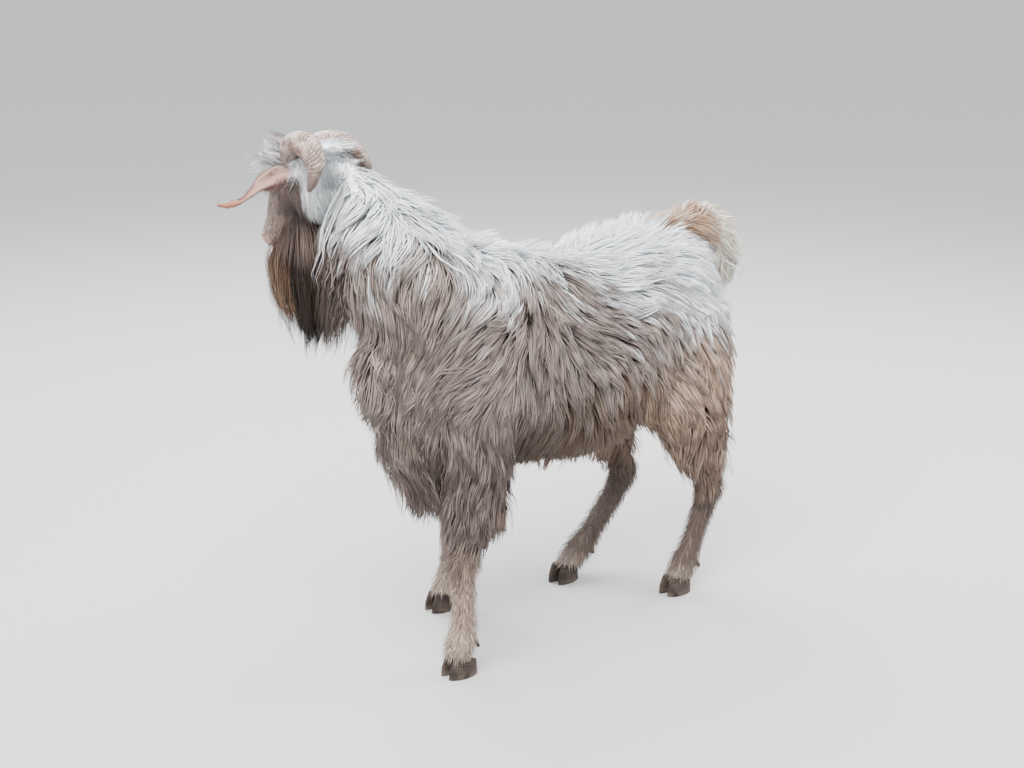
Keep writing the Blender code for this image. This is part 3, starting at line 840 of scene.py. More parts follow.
def markingsTree():
    tree, start, end = newTree("goatMarkings", [("Place", "Vector")], [("Colour", "Color")])
    place = start.outputs["Place"]
    at = markingAt
    roughScale, roughShift = at["roughGrain"]
    fineScale, fineShift = at["fineGrain"]
    rough = grain(tree, place, roughScale, 3.0)
    fine = grain(tree, place, fineScale, 3.0)
    shake = plus(tree, times(tree, minus(tree, rough, 0.5), roughShift),
                 times(tree, minus(tree, fine, 0.5), fineShift))
    _, y, z = axesOf(tree, place)
    high = plus(tree, z, shake)
    back = plus(tree, y, shake)
    shift = plus(tree, slopeOf(tree, back, *at["rump"]), slopeOf(tree, back, *at["neck"]))
    values = {
        "place": place, "rough": rough, "fine": fine, "shake": shake, "z": z, "high": high, "back": back,
        "strand": grain(tree, place, at["strandGrain"], 2.0),
        "level": plus(tree, high, shift),
        "low": plus(tree, z, slopeOf(tree, y, *at["hindSock"])),
    }
    c = coatColours
    colour = painted(tree, c["belly"], bodyPaint, values)
    shank = painted(tree, c["shank"], shankPaint, values)
    colour = mixed(tree, fade(tree, z, *at["shank"]), colour, shank)
    colour = painted(tree, colour, kneePaint, values)
    tailLow = painted(tree, c["white"], tailLowPaint, values)
    tailTop = painted(tree, c["tailRust"], tailTopPaint, values)
    tail = mixed(tree, fade(tree, high, *at["tailTop"]), tailLow, tailTop)
    colour = mixed(tree, oval(tree, place, *at["tail"]), colour, tail)
    colour = painted(tree, colour, tailRootPaint, values)
    values = headValues(tree, values)
    face = painted(tree, c["face"], facePaint, values)
    isHead = times(tree, oval(tree, values["turned"], *at["head"]),
                   fade(tree, values["ahead"], *at["headStart"]))
    tree.links.new(mixed(tree, isHead, colour, face), end.inputs["Colour"])
    return tree


# light and shade on a hair: at least and most for dark hair, then for pale hair; root is painted shade that
# darkens each hair towards its root, as if deep in the coat, while tuft and stripe vary its tone at random
hairShade = {
    "root": (0.48, 1.0, 0.86, 1.0),
    "tuft": (0.70, 1.36, 0.94, 1.06),
    "stripe": (0.66, 1.32, 0.90, 1.06),
    "rootShadeEnds": (0.0, 0.62),
    "pale": (0.40, 0.80),
}


def hairToneTree():
    inputs = [("Colour", "Color"), ("Shade", "Float"), ("Along", "Float"), ("Across", "Float")]
    tree, start, end = newTree("hairTone", inputs, [("Colour", "Color"), ("Height", "Float")])
    give = start.outputs
    spot = together(tree, times(tree, give["Across"], 9.0), times(tree, give["Along"], 1.2),
                    times(tree, give["Shade"], 61.0))
    streak = fade(tree, grain(tree, spot, 1.4, 2.0), 0.25, 0.75)
    value = addNode(tree, "RGBToBW", {0: give["Colour"]}).outputs[0]
    pale = fade(tree, value, *hairShade["pale"])

    def between(amount, name):
        # pale hair has less shadow and less stripe in it
        low, high, softLow, softHigh = hairShade[name]
        deep = ramp(tree, amount, low, high)
        return plus(tree, deep, times(tree, pale, minus(tree, ramp(tree, amount, softLow, softHigh), deep)))

    # painted shade: each hair is darker towards its root
    root = between(fade(tree, give["Along"], *hairShade["rootShadeEnds"]), "root")
    light = times(tree, times(tree, root, between(give["Shade"], "tuft")), between(streak, "stripe"))
    colour = mixed(tree, 1.0, give["Colour"], together(tree, light, light, light), "MULTIPLY")
    tree.links.new(colour, end.inputs["Colour"])
    tree.links.new(streak, end.inputs["Height"])
    return tree


markings = markingsTree()
hairTone = hairToneTree()


def useTree(tree, group, sockets):
    return addNode(tree, "Group", sockets, node_tree=group).outputs


def objectPlace(tree):
    return addNode(tree, "TexCoord").outputs["Object"]


def readAttribute(tree, name, output="Fac"):
    return addNode(tree, "Attribute", attribute_name=name).outputs[output]


def newMaterial(name, finish):
    made = bpy.data.materials.new(name)
    made.use_nodes = True
    shader = made.node_tree.nodes["Principled BSDF"]
    for socket, value in finish.items():
        shader.inputs[socket].default_value = value
    return made, made.node_tree, shader


def bump(tree, shader, height, strength, distance):
    made = addNode(tree, "Bump", {"Height": height, "Strength": strength, "Distance": distance})
    tree.links.new(made.outputs[0], shader.inputs["Normal"])


coatFinish = {
    "Roughness": 0.62,
    "Specular IOR Level": 0.30,
    "Sheen Weight": 0.12,
    "Sheen Roughness": 0.45,
}
mattFinish = {**coatFinish, "Sheen Weight": 0.02, "Specular IOR Level": 0.15}
lowTips = {"height": (0.62, 0.42), "along": (0.60, 1.0), "share": 0.65}      # darker tips low on the coat


def coatMaterial(name="coatHair", tint=None, finish=coatFinish):
    made, tree, shader = newMaterial(name, finish)
    place = readAttribute(tree, "tuftPlace", "Vector")
    along = readAttribute(tree, "alongTuft")
    across = readAttribute(tree, "acrossTuft")
    shade = readAttribute(tree, "tuftShade")
    colour = useTree(tree, markings, {"Place": place})["Colour"]
    low = fade(tree, axesOf(tree, place)[2], *lowTips["height"])
    dusk = times(tree, low, fade(tree, along, *lowTips["along"]))
    colour = mixed(tree, times(tree, dusk, lowTips["share"]), colour, coatColours["shankDark"])
    if tint:
        colour = tint(tree, place, along, shade, colour)
    tone = useTree(tree, hairTone, {"Colour": colour, "Shade": shade, "Along": along, "Across": across})
    tree.links.new(tone["Colour"], shader.inputs["Base Color"])
    bump(tree, shader, tone["Height"], 0.7, 0.0010)
    return made


skinLook = {
    "hairs": (420.0, 420.0, 90.0),
    "hairTone": (0.6, 0.66),         # gain and base
    "pores": 900.0,
    "mottle": 120.0,
    "bareShare": 0.75,
    "wet": (-0.24, 0.70),            # bare skin is smoother: gain and base
}


def skinMaterial():
    made, tree, shader = newMaterial("goatSkin", {"Roughness": 0.68, "Specular IOR Level": 0.35})
    place = objectPlace(tree)
    colour = useTree(tree, markings, {"Place": place})["Colour"]
    stretched = addNode(tree, "Mapping", {"Vector": place, "Scale": skinLook["hairs"]}).outputs[0]
    hairs = grain(tree, stretched, 1.0, 3.0)
    pores = grain(tree, place, skinLook["pores"], 2.0)
    tone = maths(tree, "MULTIPLY_ADD", hairs, *skinLook["hairTone"])
    colour = mixed(tree, 1.0, colour, together(tree, tone, tone, tone), "MULTIPLY")
    bare = readAttribute(tree, "bareSkin")
    blotch = fade(tree, grain(tree, place, skinLook["mottle"], 3.0), 0.4, 0.65)
    mottle = mixed(tree, blotch, coatColours["pink"], coatColours["face"])
    colour = mixed(tree, times(tree, bare, skinLook["bareShare"]), colour, mottle)
    # painted shade in the face's folds and along the lids
    colour = mixed(tree, readAttribute(tree, "foldShade"), colour, coatColours["crease"])
    tree.links.new(colour, shader.inputs["Base Color"])
    tree.links.new(maths(tree, "MULTIPLY_ADD", bare, *skinLook["wet"]), shader.inputs["Roughness"])
    bump(tree, shader, plus(tree, hairs, times(tree, pores, bare)), 0.45, 0.0009)
    return made


finishPiece(skin, skinMaterial(), "white_coat", *fleshNames)
print("skin coloured")


# how the long coat lies: place (out from the middle, y, z), lie, length, how proud the tips stand
coatLie = [
    ((0.02, 0.42, 0.86), (0.25, 0.90, 0.05), 0.070, 0.008),
    ((0.02, 0.24, 0.85), (0.25, 0.70, 0.35), 0.062, 0.016),
    ((0.02, 0.05, 0.81), (0.45, 0.90, -0.20), 0.080, 0.002),
    ((0.02, -0.12, 0.87), (0.60, 0.65, -0.35), 0.085, 0.003),
    ((0.12, 0.40, 0.79), (0.25, 0.75, -0.60), 0.085, 0.002),
    ((0.14, 0.20, 0.77), (0.25, 0.65, -0.75), 0.090, 0.000),
    ((0.14, 0.00, 0.77), (0.25, 0.35, -0.88), 0.095, 0.000),
    ((0.13, -0.16, 0.79), (0.25, -0.20, -0.95), 0.105, 0.000),
    ((0.17, 0.44, 0.66), (0.05, 0.40, -0.90), 0.085, 0.004),
    ((0.18, 0.22, 0.64), (0.00, 0.32, -0.95), 0.060, 0.000),
    ((0.19, 0.05, 0.64), (0.00, 0.30, -0.95), 0.058, 0.001),
    ((0.19, -0.12, 0.62), (0.00, -0.30, -1.00), 0.105, 0.002),
    ((0.18, -0.28, 0.62), (0.00, -0.80, -0.85), 0.125, 0.004),
    ((0.18, 0.15, 0.48), (0.00, 0.15, -1.00), 0.105, 0.004),
    ((0.18, -0.02, 0.46), (0.00, 0.10, -1.00), 0.110, 0.004),
    ((0.08, 0.05, 0.36), (0.10, 0.05, -1.00), 0.100, 0.008),
    ((0.10, -0.38, 0.55), (0.10, -0.70, -0.85), 0.130, 0.008),
    ((0.03, -0.43, 0.62), (0.15, -0.50, -0.88), 0.130, 0.008),
    ((0.06, -0.36, 0.40), (0.00, -0.30, -1.00), 0.120, 0.012),
    ((0.15, -0.27, 0.74), (0.05, -0.95, -0.78), 0.130, 0.003),
    ((0.12, -0.37, 0.82), (0.05, -1.00, -0.72), 0.130, 0.004),
    ((0.09, -0.41, 0.93), (0.20, -0.75, -0.62), 0.090, 0.003),
    ((0.05, -0.42, 1.00), (0.30, 0.40, -0.70), 0.060, -0.014),
    ((0.01, -0.27, 0.92), (0.45, 0.75, -0.30), 0.110, 0.013),
    ((0.01, -0.36, 1.00), (0.35, 0.85, -0.35), 0.070, -0.016),
    ((0.02, -0.48, 0.80), (0.10, -0.20, -1.00), 0.120, 0.004),
    ((0.14, -0.25, 0.45), (0.00, -0.05, -1.00), 0.095, 0.004),
    ((0.14, -0.25, 0.32), (0.00, 0.10, -1.00), 0.080, 0.009),
    ((0.16, 0.33, 0.52), (0.00, 0.30, -1.00), 0.095, 0.004),
    ((0.10, 0.47, 0.60), (0.00, 0.30, -1.00), 0.095, 0.007),
    ((0.12, 0.38, 0.36), (0.00, 0.10, -1.00), 0.085, 0.009),
    ((0.05, 0.50, 0.74), (0.15, 0.60, -0.80), 0.085, 0.006),
    ((0.04, 0.30, 0.45), (0.00, 0.10, -1.00), 0.080, 0.000),
]
trunkMiddle = sum(corner.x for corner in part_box("trunk")) / 2
# height, and how far the neck's middle leans to the right there
neckLean = ((0.640, 0.760, 0.860, 0.936, 0.985), (0.0, -0.008, -0.034, -0.064, -0.084))
tailArc = (0.471, 0.690)     # y and z of the middle of the tail's arch
tailHairs = {"lift": 0.40, "length": 0.090, "proud": 0.012}
lieBlend = {"body": 0.035, "head": 0.012}        # how softly one lie passes into the next


def sideOf(points):
    lean = np.interp(points[:, 2], *neckLean) * smooth(-points[:, 1], 0.17, 0.27)
    out = points[:, 0] - trunkMiddle - lean
    folded = np.stack((np.abs(out), points[:, 1], points[:, 2]), axis=1)
    return folded, np.where(out < 0, -1.0, 1.0)


def blendLie(folded, sign, rows, soft):
    places = np.array([row[0] for row in rows])
    table = np.array([(*unit(np.array(row[1])), row[2], row[3]) for row in rows])
    gap = np.sum((folded[:, None] - places[None]) ** 2, axis=2)
    share = 1 / (gap + soft ** 2) ** 2
    found = share @ table / np.sum(share, axis=1, keepdims=True)
    found[:, 0] *= sign
    return found


def tailLie(points):
    ray = np.zeros_like(points)
    ray[:, 1] = points[:, 1] - tailArc[0]
    ray[:, 2] = points[:, 2] - tailArc[1]
    ray = unit(ray)
    onward = np.stack((ray[:, 0], ray[:, 2], -ray[:, 1]), axis=1)
    return unit(onward + tailHairs["lift"] * ray)


def bodyLie(points, corner):
    folded, sign = sideOf(points)
    lie = blendLie(folded, sign, coatLie, lieBlend["body"])
    isTail = np.array([kindOf(name) == "tail" for name in fleshNames])[skinNodes[corner]]
    lie[isTail, :3] = tailLie(points[isTail])
    lie[isTail, 3:] = (tailHairs["length"], tailHairs["proud"])
    # slow waves turn the lie a little to either side
    x, y, z = points.T
    turn = 0.24 * np.sin(17 * x + 9 * y + 3) + 0.20 * np.sin(11 * y - 19 * z + 1)
    turn = (turn + 0.14 * np.sin(37 * z + 23 * y + 11 * x))[:, None]
    side = np.cross(readGrid(coatField, "out", points), lie[:, :3])
    lie[:, :3] = unit(lie[:, :3] * np.cos(turn) + unit(side) * np.sin(turn))
    return lie


growth = {
    "innerDepth": 0.38,      # where the tips of the undermost hairs end, as a share of the depth
    "rise": 0.75,
    "hang": (0.45, 0.90),    # how far the coat faces down where it starts to hang free
    "climb": (-0.55, 0.92),
    "shortest": 0.45,        # of a tuft that is cut to the outline
}


def growPaths(lieAt, roots, corner, steps, length, proud, layer, twist):
    far = readGrid(coatField, "far", roots)
    paths = [roots]
    outs = [unit(readGrid(coatField, "out", roots))]
    spot = roots
    size = (length / steps)[:, None]
    cosine, sine = np.cos(twist)[:, None], np.sin(twist)[:, None]
    for k in range(1, steps + 1):
        out = unit(readGrid(coatField, "out", spot))
        lie = lieAt(spot, corner)[:, :3]
        lie = lie * cosine + np.cross(out, lie) * sine
        flat = unit(lie - dot(lie, out) * out)
        hang = smooth(-out[:, 2:], *growth["hang"])
        flat = unit(flat * (1 - hang) + unit(lie) * hang)
        rise = (k / steps) ** growth["rise"]
        final = far * growth["innerDepth"] * (1 - layer[:, None]) + proud[:, None] * layer[:, None]
        want = far * (1 - rise) + final * rise
        here = readGrid(coatField, "far", spot)
        climb = np.clip((want - here) / size, *growth["climb"])
        spot = spot + (flat * np.sqrt(1 - climb ** 2) + out * climb) * size
        paths.append(spot)
        outs.append(out)
    return np.stack(paths, axis=1), np.stack(outs, axis=1)


def cutToOutline(paths, outs, limit):
    count, rings, _ = paths.shape
    far = readGrid(coatField, "far", paths.reshape(-1, 3)).reshape(count, rings)
    over = far > limit[:, None]
    first = np.where(over.any(axis=1), np.argmax(over, axis=1), rings - 1)
    before = np.maximum(first - 1, 0)
    rows = np.arange(count)
    low, high = far[rows, before], far[rows, first]
    part = np.clip((limit - low) / np.maximum(high - low, 1e-6), 0, 1)
    keep = np.where(over.any(axis=1), before + part, rings - 1.0)
    keep = np.maximum(keep, growth["shortest"] * (rings - 1))
    spots = np.linspace(0, 1, rings)[None] * keep[:, None]
    base = np.minimum(spots.astype(int), rings - 2)
    share = (spots - base)[..., None]
    rows = rows[:, None]
    return (paths[rows, base] * (1 - share) + paths[rows, base + 1] * share,
            outs[rows, base] * (1 - share) + outs[rows, base + 1] * share)


def sampleSkin(mesh, density, total):
    mesh.calc_loop_triangles()
    tris = np.empty(len(mesh.loop_triangles) * 3, dtype=np.int64)
    mesh.loop_triangles.foreach_get("vertices", tris)
    tris = tris.reshape(-1, 3)
    points = pointsOf(mesh)
    a, b, c = points[tris[:, 0]], points[tris[:, 1]], points[tris[:, 2]]
    cross = np.cross(b - a, c - a)
    weight = np.linalg.norm(cross, axis=1) * density[tris].mean(axis=1)
    steps = np.cumsum(weight)
    if steps[-1] <= 0:
        raise ValueError("no skin to grow hair on")
    spots = (np.arange(total) + dice.random(total)) / total * steps[-1]
    rows = np.minimum(np.searchsorted(steps, spots), len(tris) - 1)
    u, v = dice.random((2, total, 1))
    flip = u + v > 1
    u, v = np.where(flip, 1 - u, u), np.where(flip, 1 - v, v)
    return a[rows] + u * (b[rows] - a[rows]) + v * (c[rows] - a[rows]), unit(cross[rows]), tris[rows, 0]


def nearestRows(points, seeds):
    tree = KDTree(len(seeds))
    for index, seed in enumerate(seeds):
        tree.insert(seed, index)
    tree.balance()
    return np.array([tree.find(point)[1] for point in points])


tuftMake = {
    "patch": 0.003,          # of a tuft on the skin's unwrap
    "margin": 0.01,          # round the unwrap
    "mostTriangles": 196000,         # in one piece
    "taper": ((0, 0.25, 0.6, 1.0), (0.75, 1.0, 0.62, 0.06)),
}


def barrelUnwrap(points):
    # round the long axis of this stretch of skin, and along it
    rel = points - points.mean(axis=0)
    _, _, axes = np.linalg.svd(rel[:: max(1, len(rel) // 2000)], full_matrices=False)
    local = rel @ axes.T
    u = np.arctan2(local[:, 2], local[:, 1]) / (2 * math.pi) + 0.5
    low, high = local[:, 0].min(), local[:, 0].max()
    v = (local[:, 0] - low) / max(high - low, 1e-6)
    margin = tuftMake["margin"]
    return np.stack((u, v), axis=1) * (1 - 2 * margin) + margin


def takeRows(coat, rows):
    return {key: value[rows] for key, value in coat.items()}


def tuftPoints(coat, t, ridge):
    # three points round each ring but the last, which is the tip
    paths = coat["paths"]
    solid = len(t) - 1
    along = unit(np.gradient(paths, axis=1))
    across = unit(np.cross(along, coat["outs"]))
    rise = np.cross(across, along)
    taper = np.interp(t, *tuftMake["taper"])[:solid]
    width = coat["width"][:, None, None] * taper[None, :, None]
    body = paths[:, :solid]
    left = body - across[:, :solid] * width
    right = body + across[:, :solid] * width
    top = body + rise[:, :solid] * width * ridge
    rings = np.stack((left, top, right), axis=2).reshape(len(paths), solid * 3, 3)
    return np.concatenate((rings, paths[:, -1:]), axis=1)


def tuftFaces(solid):
    faces = [(2, 1, 0)]
    for k in range(solid - 1):
        for c in range(3):
            d = (c + 1) % 3
            faces.append((3 * k + c, 3 * k + d, 3 * k + 3 + d, 3 * k + 3 + c))
    last = 3 * (solid - 1)
    faces += [(last + c, last + (c + 1) % 3, last + 3) for c in range(3)]
    return np.concatenate(faces), np.array([len(face) for face in faces])


def repeatedMesh(name, points, loops, sizes):
    count, each, _ = points.shape
    mesh = bpy.data.meshes.new(name)
    mesh.vertices.add(count * each)
    mesh.vertices.foreach_set("co", points.astype(np.float32).ravel())
    corner = (loops[None] + np.arange(count)[:, None] * each).ravel()
    mesh.loops.add(len(corner))
    mesh.loops.foreach_set("vertex_index", corner.astype(np.int32))
    totals = np.tile(sizes, count)
    mesh.polygons.add(len(totals))
    mesh.polygons.foreach_set("loop_start", (np.cumsum(totals) - totals).astype(np.int32))
    return mesh


def addCoat(name, coat, material, slot, *replaced, ridge=0.42):
    count, rings, _ = coat["paths"].shape
    solid = rings - 1
    most = tuftMake["mostTriangles"] // (6 * solid - 2)
    if count > most:
        parts = math.ceil(count / most)
        for part in range(parts):
            rows = takeRows(coat, slice(part, None, parts))
            addCoat(f"{name}_{part + 1}", rows, material, slot, *replaced, ridge=ridge)
        return
    t = np.linspace(0, 1, rings)
    loops, sizes = tuftFaces(solid)
    mesh = repeatedMesh(name, tuftPoints(coat, t, ridge), loops, sizes)
    each = solid * 3 + 1
    cross = np.array([0.0, 0.5, 1.0] * solid + [0.5])
    down = np.append(np.repeat(t[:solid], 3), 1.0)
    # along drives the painted shade at the root; short hair starts half way along, so its root is darkened
    # less
    bright = 0.5 + 0.5 * down if rings == 3 else down          # short hair isn't dark at the root
    setAttribute(mesh, "alongTuft", np.tile(bright, count))
    setAttribute(mesh, "acrossTuft", np.tile(cross, count))
    setAttribute(mesh, "tuftShade", np.repeat(coat["shade"], each))
    setAttribute(mesh, "tuftPlace", np.repeat(coat["place"], each, axis=0))
    patch = np.stack((cross[loops], down[loops]), axis=1) - 0.5
    uv = (barrelUnwrap(coat["roots"])[:, None] + patch[None] * tuftMake["patch"]).reshape(-1, 2)
    mesh.uv_layers.new(name="OFBake").data.foreach_set("uv", uv.astype(np.float32).ravel())
    mesh.update()
    mesh.validate()
    piece = bpy.data.objects.new(name, mesh)
    bpy.context.scene.collection.objects.link(piece)
    finishPiece(piece, material, slot, *replaced)


def kindDensity(densities):
    table = np.array([densities.get(kindOf(name), 0.0) for name in fleshNames])
    return table[skinNodes]


def waved(paths, outs, amount, turns, phase, power):
    t = np.linspace(0, 1, paths.shape[1])[None]
    along = unit(np.gradient(paths, axis=1))
    across = unit(np.cross(along, outs))
    angle = (t * turns[:, None] + phase[:, None]) * 2 * math.pi
    reach = amount[:, None] * t ** power
    sway = across * (np.sin(angle) * reach)[..., None]
    return paths + sway + outs * (np.cos(angle) * reach * 0.4)[..., None]


def breastShare(points):
    _, y, z = points.T
    return smooth(-y, 0.36, 0.44) * smooth(z, 0.45, 0.56) * smooth(-z, -0.86, -0.76)


def pollShare(points):
    x, y, z = intoHead(points).T
    beside = smooth(-np.abs(x), -0.072, -0.050) * smooth(z, -0.080, -0.055)
    return beside * smooth(y, -0.080, -0.062) * smooth(-y, -0.090, -0.060)


# what a coat's settings say unless its own dictionary says otherwise
usualHair = {
    "longer": 1.0,
    "prouder": 0.0,
    "poll": 1.0,             # how far the hair between the horns is kept short and close
    "stray": 0.10,           # share of the locks that go their own way
    "twist": 0.15,
    "outer": 0.0,            # least layer: 0 lets locks lie deep in the coat, 1 keeps all on top
    "turns": (0.4, 1.0),
    "curl": 1.0,
    "lockSize": (0.022, 0.040),
    "limit": (0.002, 0.012),         # how far past the outline a lock may reach
    "scatter": 0.016,
    "atRoot": False,         # takes its colour at the root, not half way along
}


# how locks differ from each other, and hairs from their lock
lockMake = {
    "strayTwist": 0.30,
    "length": (0.78, 1.18),
    "proud": 0.0030,
    "strayProud": 0.010,
    "wave": (0.4, 1.3),
    "hairLength": 0.12,
    "hairProud": 0.0020,
    "hairLayer": 0.22,
    "hairTwist": 0.10,
    "hairLimit": 0.002,
    "hairWidth": (0.55, 1.35),
    "fullWidthAt": 0.09,     # length of the hairs whose width is the coat's own
    "sameShade": 0.62,
    "draw": 1.4,             # a lock draws together late, towards its tips
    "colourDown": 0.12,      # share of the locks that take their colour from lower down
    "colourUp": 0.16,
}
# places where the coat differs
zoneMake = {
    "breastProud": 0.013,
    "breastLimit": 0.016,
    "pollProud": 0.007,
    "pollLimit": 0.010,
    "pollShorter": 0.45,
    "croupLooser": 0.45,
}


def drawLocks(s, count):
    stray = dice.random(count) < s["stray"]
    strayTwist, strayProud = lockMake["strayTwist"], lockMake["strayProud"]
    return {
        "twist": dice.normal(0, s["twist"], count) + stray * dice.normal(0, strayTwist, count),
        "length": dice.uniform(*lockMake["length"], count),
        "proud": dice.normal(0, lockMake["proud"], count) + stray * dice.uniform(0, strayProud, count),
        "layer": np.sqrt(dice.random(count)) * (1 - s["outer"]) + s["outer"],
        "shade": dice.random(count),
        "phase": dice.random(count),
        "turns": dice.uniform(*s["turns"], count),
        "wave": dice.uniform(*lockMake["wave"], count) * s["wave"],
    }


def colourShift(s, count):
    # a lock takes its colour from near its root, so that edges of colour are ragged
    shift = dice.normal(0, s["scatter"], (count, 3))
    jump = np.abs(dice.normal(0, s["scatter"] * 3, count))
    way = dice.random(count)
    upward = way > 1 - lockMake["colourUp"]
    shift[:, 2] += jump * np.where(way < lockMake["colourDown"], -1, np.where(upward, 1, 0))
    return shift


def growHair(own, density, lieAt):
    s = {**usualHair, **own}
    roots, _, corner = sampleSkin(skin.data, density, s["tufts"])
    count = len(roots)
    seedCount = max(1, count // s["perLock"])
    seeds = dice.choice(count, seedCount, replace=False)
    lock = nearestRows(roots, roots[seeds])
    lie = lieAt(roots, corner)
    depth = readGrid(coatField, "far", roots)[:, 0]
    breast = breastShare(roots)
    poll = pollShare(roots) * s["poll"]
    length = lie[:, 3] * s["longer"] * (1 - zoneMake["pollShorter"] * poll)
    proud = lie[:, 4] + s["prouder"] + zoneMake["breastProud"] * breast
    proud = proud * (1 - poll) + (depth + zoneMake["pollProud"]) * poll
    locks = drawLocks(s, seedCount)

    def grown(rows, loose):
        mine = takeRows(locks, lock[rows])
        drift = dice.normal(0, 1, (3, len(rows))) * loose
        paths, outs = growPaths(lieAt, roots[rows], corner[rows], s["steps"],
                                length[rows] * mine["length"] * (1 + lockMake["hairLength"] * drift[0]),
                                proud[rows] + mine["proud"] + lockMake["hairProud"] * drift[1],
                                np.clip(mine["layer"] + lockMake["hairLayer"] * drift[2], 0, 1),
                                mine["twist"] + lockMake["hairTwist"] * drift[0])
        return waved(paths, outs, mine["wave"], mine["turns"], mine["phase"], s["curl"]), outs

    guides, _ = grown(seeds, 0.0)
    paths, outs = grown(np.arange(count), 1.0)
    t = np.linspace(0, 1, s["steps"] + 1)[None, :, None]
    gap = np.linalg.norm(roots - roots[seeds][lock], axis=1)
    croup = smooth(roots[:, 2], 0.68, 0.76) * smooth(roots[:, 1], -0.10, 0.05)
    hold = s["pull"] * (1 - smooth(gap, *s["lockSize"])) * (1 - zoneMake["croupLooser"] * croup)
    paths = paths + (guides[lock] - paths) * hold[:, None, None] * t ** lockMake["draw"]
    least, most = s["limit"]
    limit = least + (most - least) * dice.random(seedCount)[lock]
    limit = limit + lockMake["hairLimit"] * dice.random(count)
    limit = limit * (1 - poll) + (depth + zoneMake["pollLimit"] + 0.5 * limit) * poll
    paths, outs = cutToOutline(paths, outs, limit + zoneMake["breastLimit"] * breast)
    same = lockMake["sameShade"]
    shade = np.clip(same * locks["shade"][lock] + (1 - same) * dice.random(count), 0, 1)
    place = roots if s["atRoot"] else paths[:, s["steps"] // 2]
    place = place + colourShift(s, seedCount)[lock]
    width = s["halfWidth"] * dice.uniform(*lockMake["hairWidth"], count)
    width = width * (length / lockMake["fullWidthAt"]) ** 0.4
    return {"paths": paths, "outs": outs, "shade": shade, "place": place, "roots": roots,
            "width": width, "node": skinNodes[corner]}


def clearOfHorns(coat):
    paths = coat["paths"]
    keep = np.ones(len(paths), dtype=bool)
    for name in hornNames:
        bm = bmesh.new()
        bm.from_mesh(nodes[name].data)
        bmesh.ops.remove_doubles(bm, verts=bm.verts, dist=weldGap)
        tree = BVHTree.FromBMesh(bm)
        bm.free()
        low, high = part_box(name)
        near = np.all((paths[:, 1:] > np.array(low)) & (paths[:, 1:] < np.array(high)), axis=2)
        for row, ring in zip(*np.nonzero(near)):
            spot = Vector(paths[row, ring + 1])
            found, normal, _, _ = tree.find_nearest(spot)
            if (spot - found).dot(normal) < 0:
                keep[row] = False
    return takeRows(coat, keep)


# the long coat of trunk, neck, upper legs and tail
longCoat = {
    "tufts": 42500,
    "steps": 4,              # stretches in a tuft
    "perLock": 11,
    "halfWidth": 0.0021,
    "pull": 0.72,            # how far a lock's tufts draw together at its tip
    "wave": 0.0035,
    "density": {"trunk": 1.0, "neck": 1.25, "upper_leg": 1.15, "tail": 1.9},
}
slotOf = {"trunk": "white_coat", "neck": "white_coat", "tail": "tan_coat", "upper_leg": "taupe_coat"}
hair = coatMaterial()
coat = clearOfHorns(growHair(longCoat, kindDensity(longCoat["density"]), bodyLie))
coatNode = np.array(fleshNames)[coat["node"]]
coatNode = np.char.replace(coatNode, "lower_leg", "upper_leg")
coatNode[np.char.startswith(coatNode, "head") | np.char.startswith(coatNode, "ear")] = "neck"
for nodeName in np.unique(coatNode).tolist():
    addCoat("coat_" + nodeName, takeRows(coat, coatNode == nodeName), hair, slotOf[kindOf(nodeName)])
print("long coat grown,", len(coatNode), "tufts")


# curled locks along the lower edges of the coat, the tail and the mane
fringe = {
    "tufts": 2400,
    "steps": 6,
    "perLock": 11,
    "halfWidth": 0.0015,
    "pull": 0.90,
    "wave": 0.010,
    "turns": (0.7, 1.5),
    "curl": 2.2,
    "stray": 0.35,
    "longer": 1.25,
    "prouder": 0.010,
    "outer": 0.75,
    "limit": (0.010, 0.030),
    "lockSize": (0.03, 0.05),
}


def fringeDensity():
    _, y, z = skinPoints.T
    down = -normalsOf(skin.data)[:, 2]
    edge = kindDensity({"trunk": 1.0}) * smooth(-z, -0.50, -0.40) * smooth(down, -0.1, 0.5)
    edge = edge * (0.7 + 1.6 * smooth(-y, 0.10, 0.25))
    legs = kindDensity({"upper_leg": 1.0}) * smooth(-z, -0.42, -0.36) * 1.6
    tail = kindDensity({"tail": 3.0}) * smooth(y, 0.47, 0.53)
    mane = kindDensity({"neck": 2.2}) * smooth(-down, 0.2, 0.6) * smooth(z, 0.84, 0.90)
    mane = mane * smooth(y, -0.39, -0.34)
    return edge + legs + tail + mane


locks = growHair(fringe, fringeDensity(), bodyLie)
addCoat("coat_fringe", locks, hair, "taupe_coat")


# rust locks that arch over the root of the tail
tailRoot = {
    "tufts": 800,
    "steps": 6,
    "perLock": 16,
    "halfWidth": 0.0016,
    "pull": 0.80,
    "wave": 0.0040,
    "outer": 0.45,
    "limit": (0.006, 0.020),
    "lockSize": (0.03, 0.05),
    "slopes": ((0.32, 0.38, 0.44, 0.50), (0.50, 0.28, -0.15, -0.60)),        # of the arch, by y
    "lengthProud": (0.105, 0.012),
}


def tailRootLie(points, _):
    lie = np.zeros((len(points), 5))
    lie[:, 1] = 1.0
    lie[:, 2] = np.interp(points[:, 1], *tailRoot["slopes"])
    lie[:, 3:] = tailRoot["lengthProud"]
    lie[:, :3] = unit(lie[:, :3])
    return lie


def tailRootDensity():
    x, y, z = skinPoints.T
    middle = smooth(-np.abs(x - trunkMiddle + 0.008), -0.050, -0.020)
    return middle * smooth(y, 0.30, 0.33) * smooth(-y, -0.46, -0.42) * smooth(z, 0.775, 0.800)


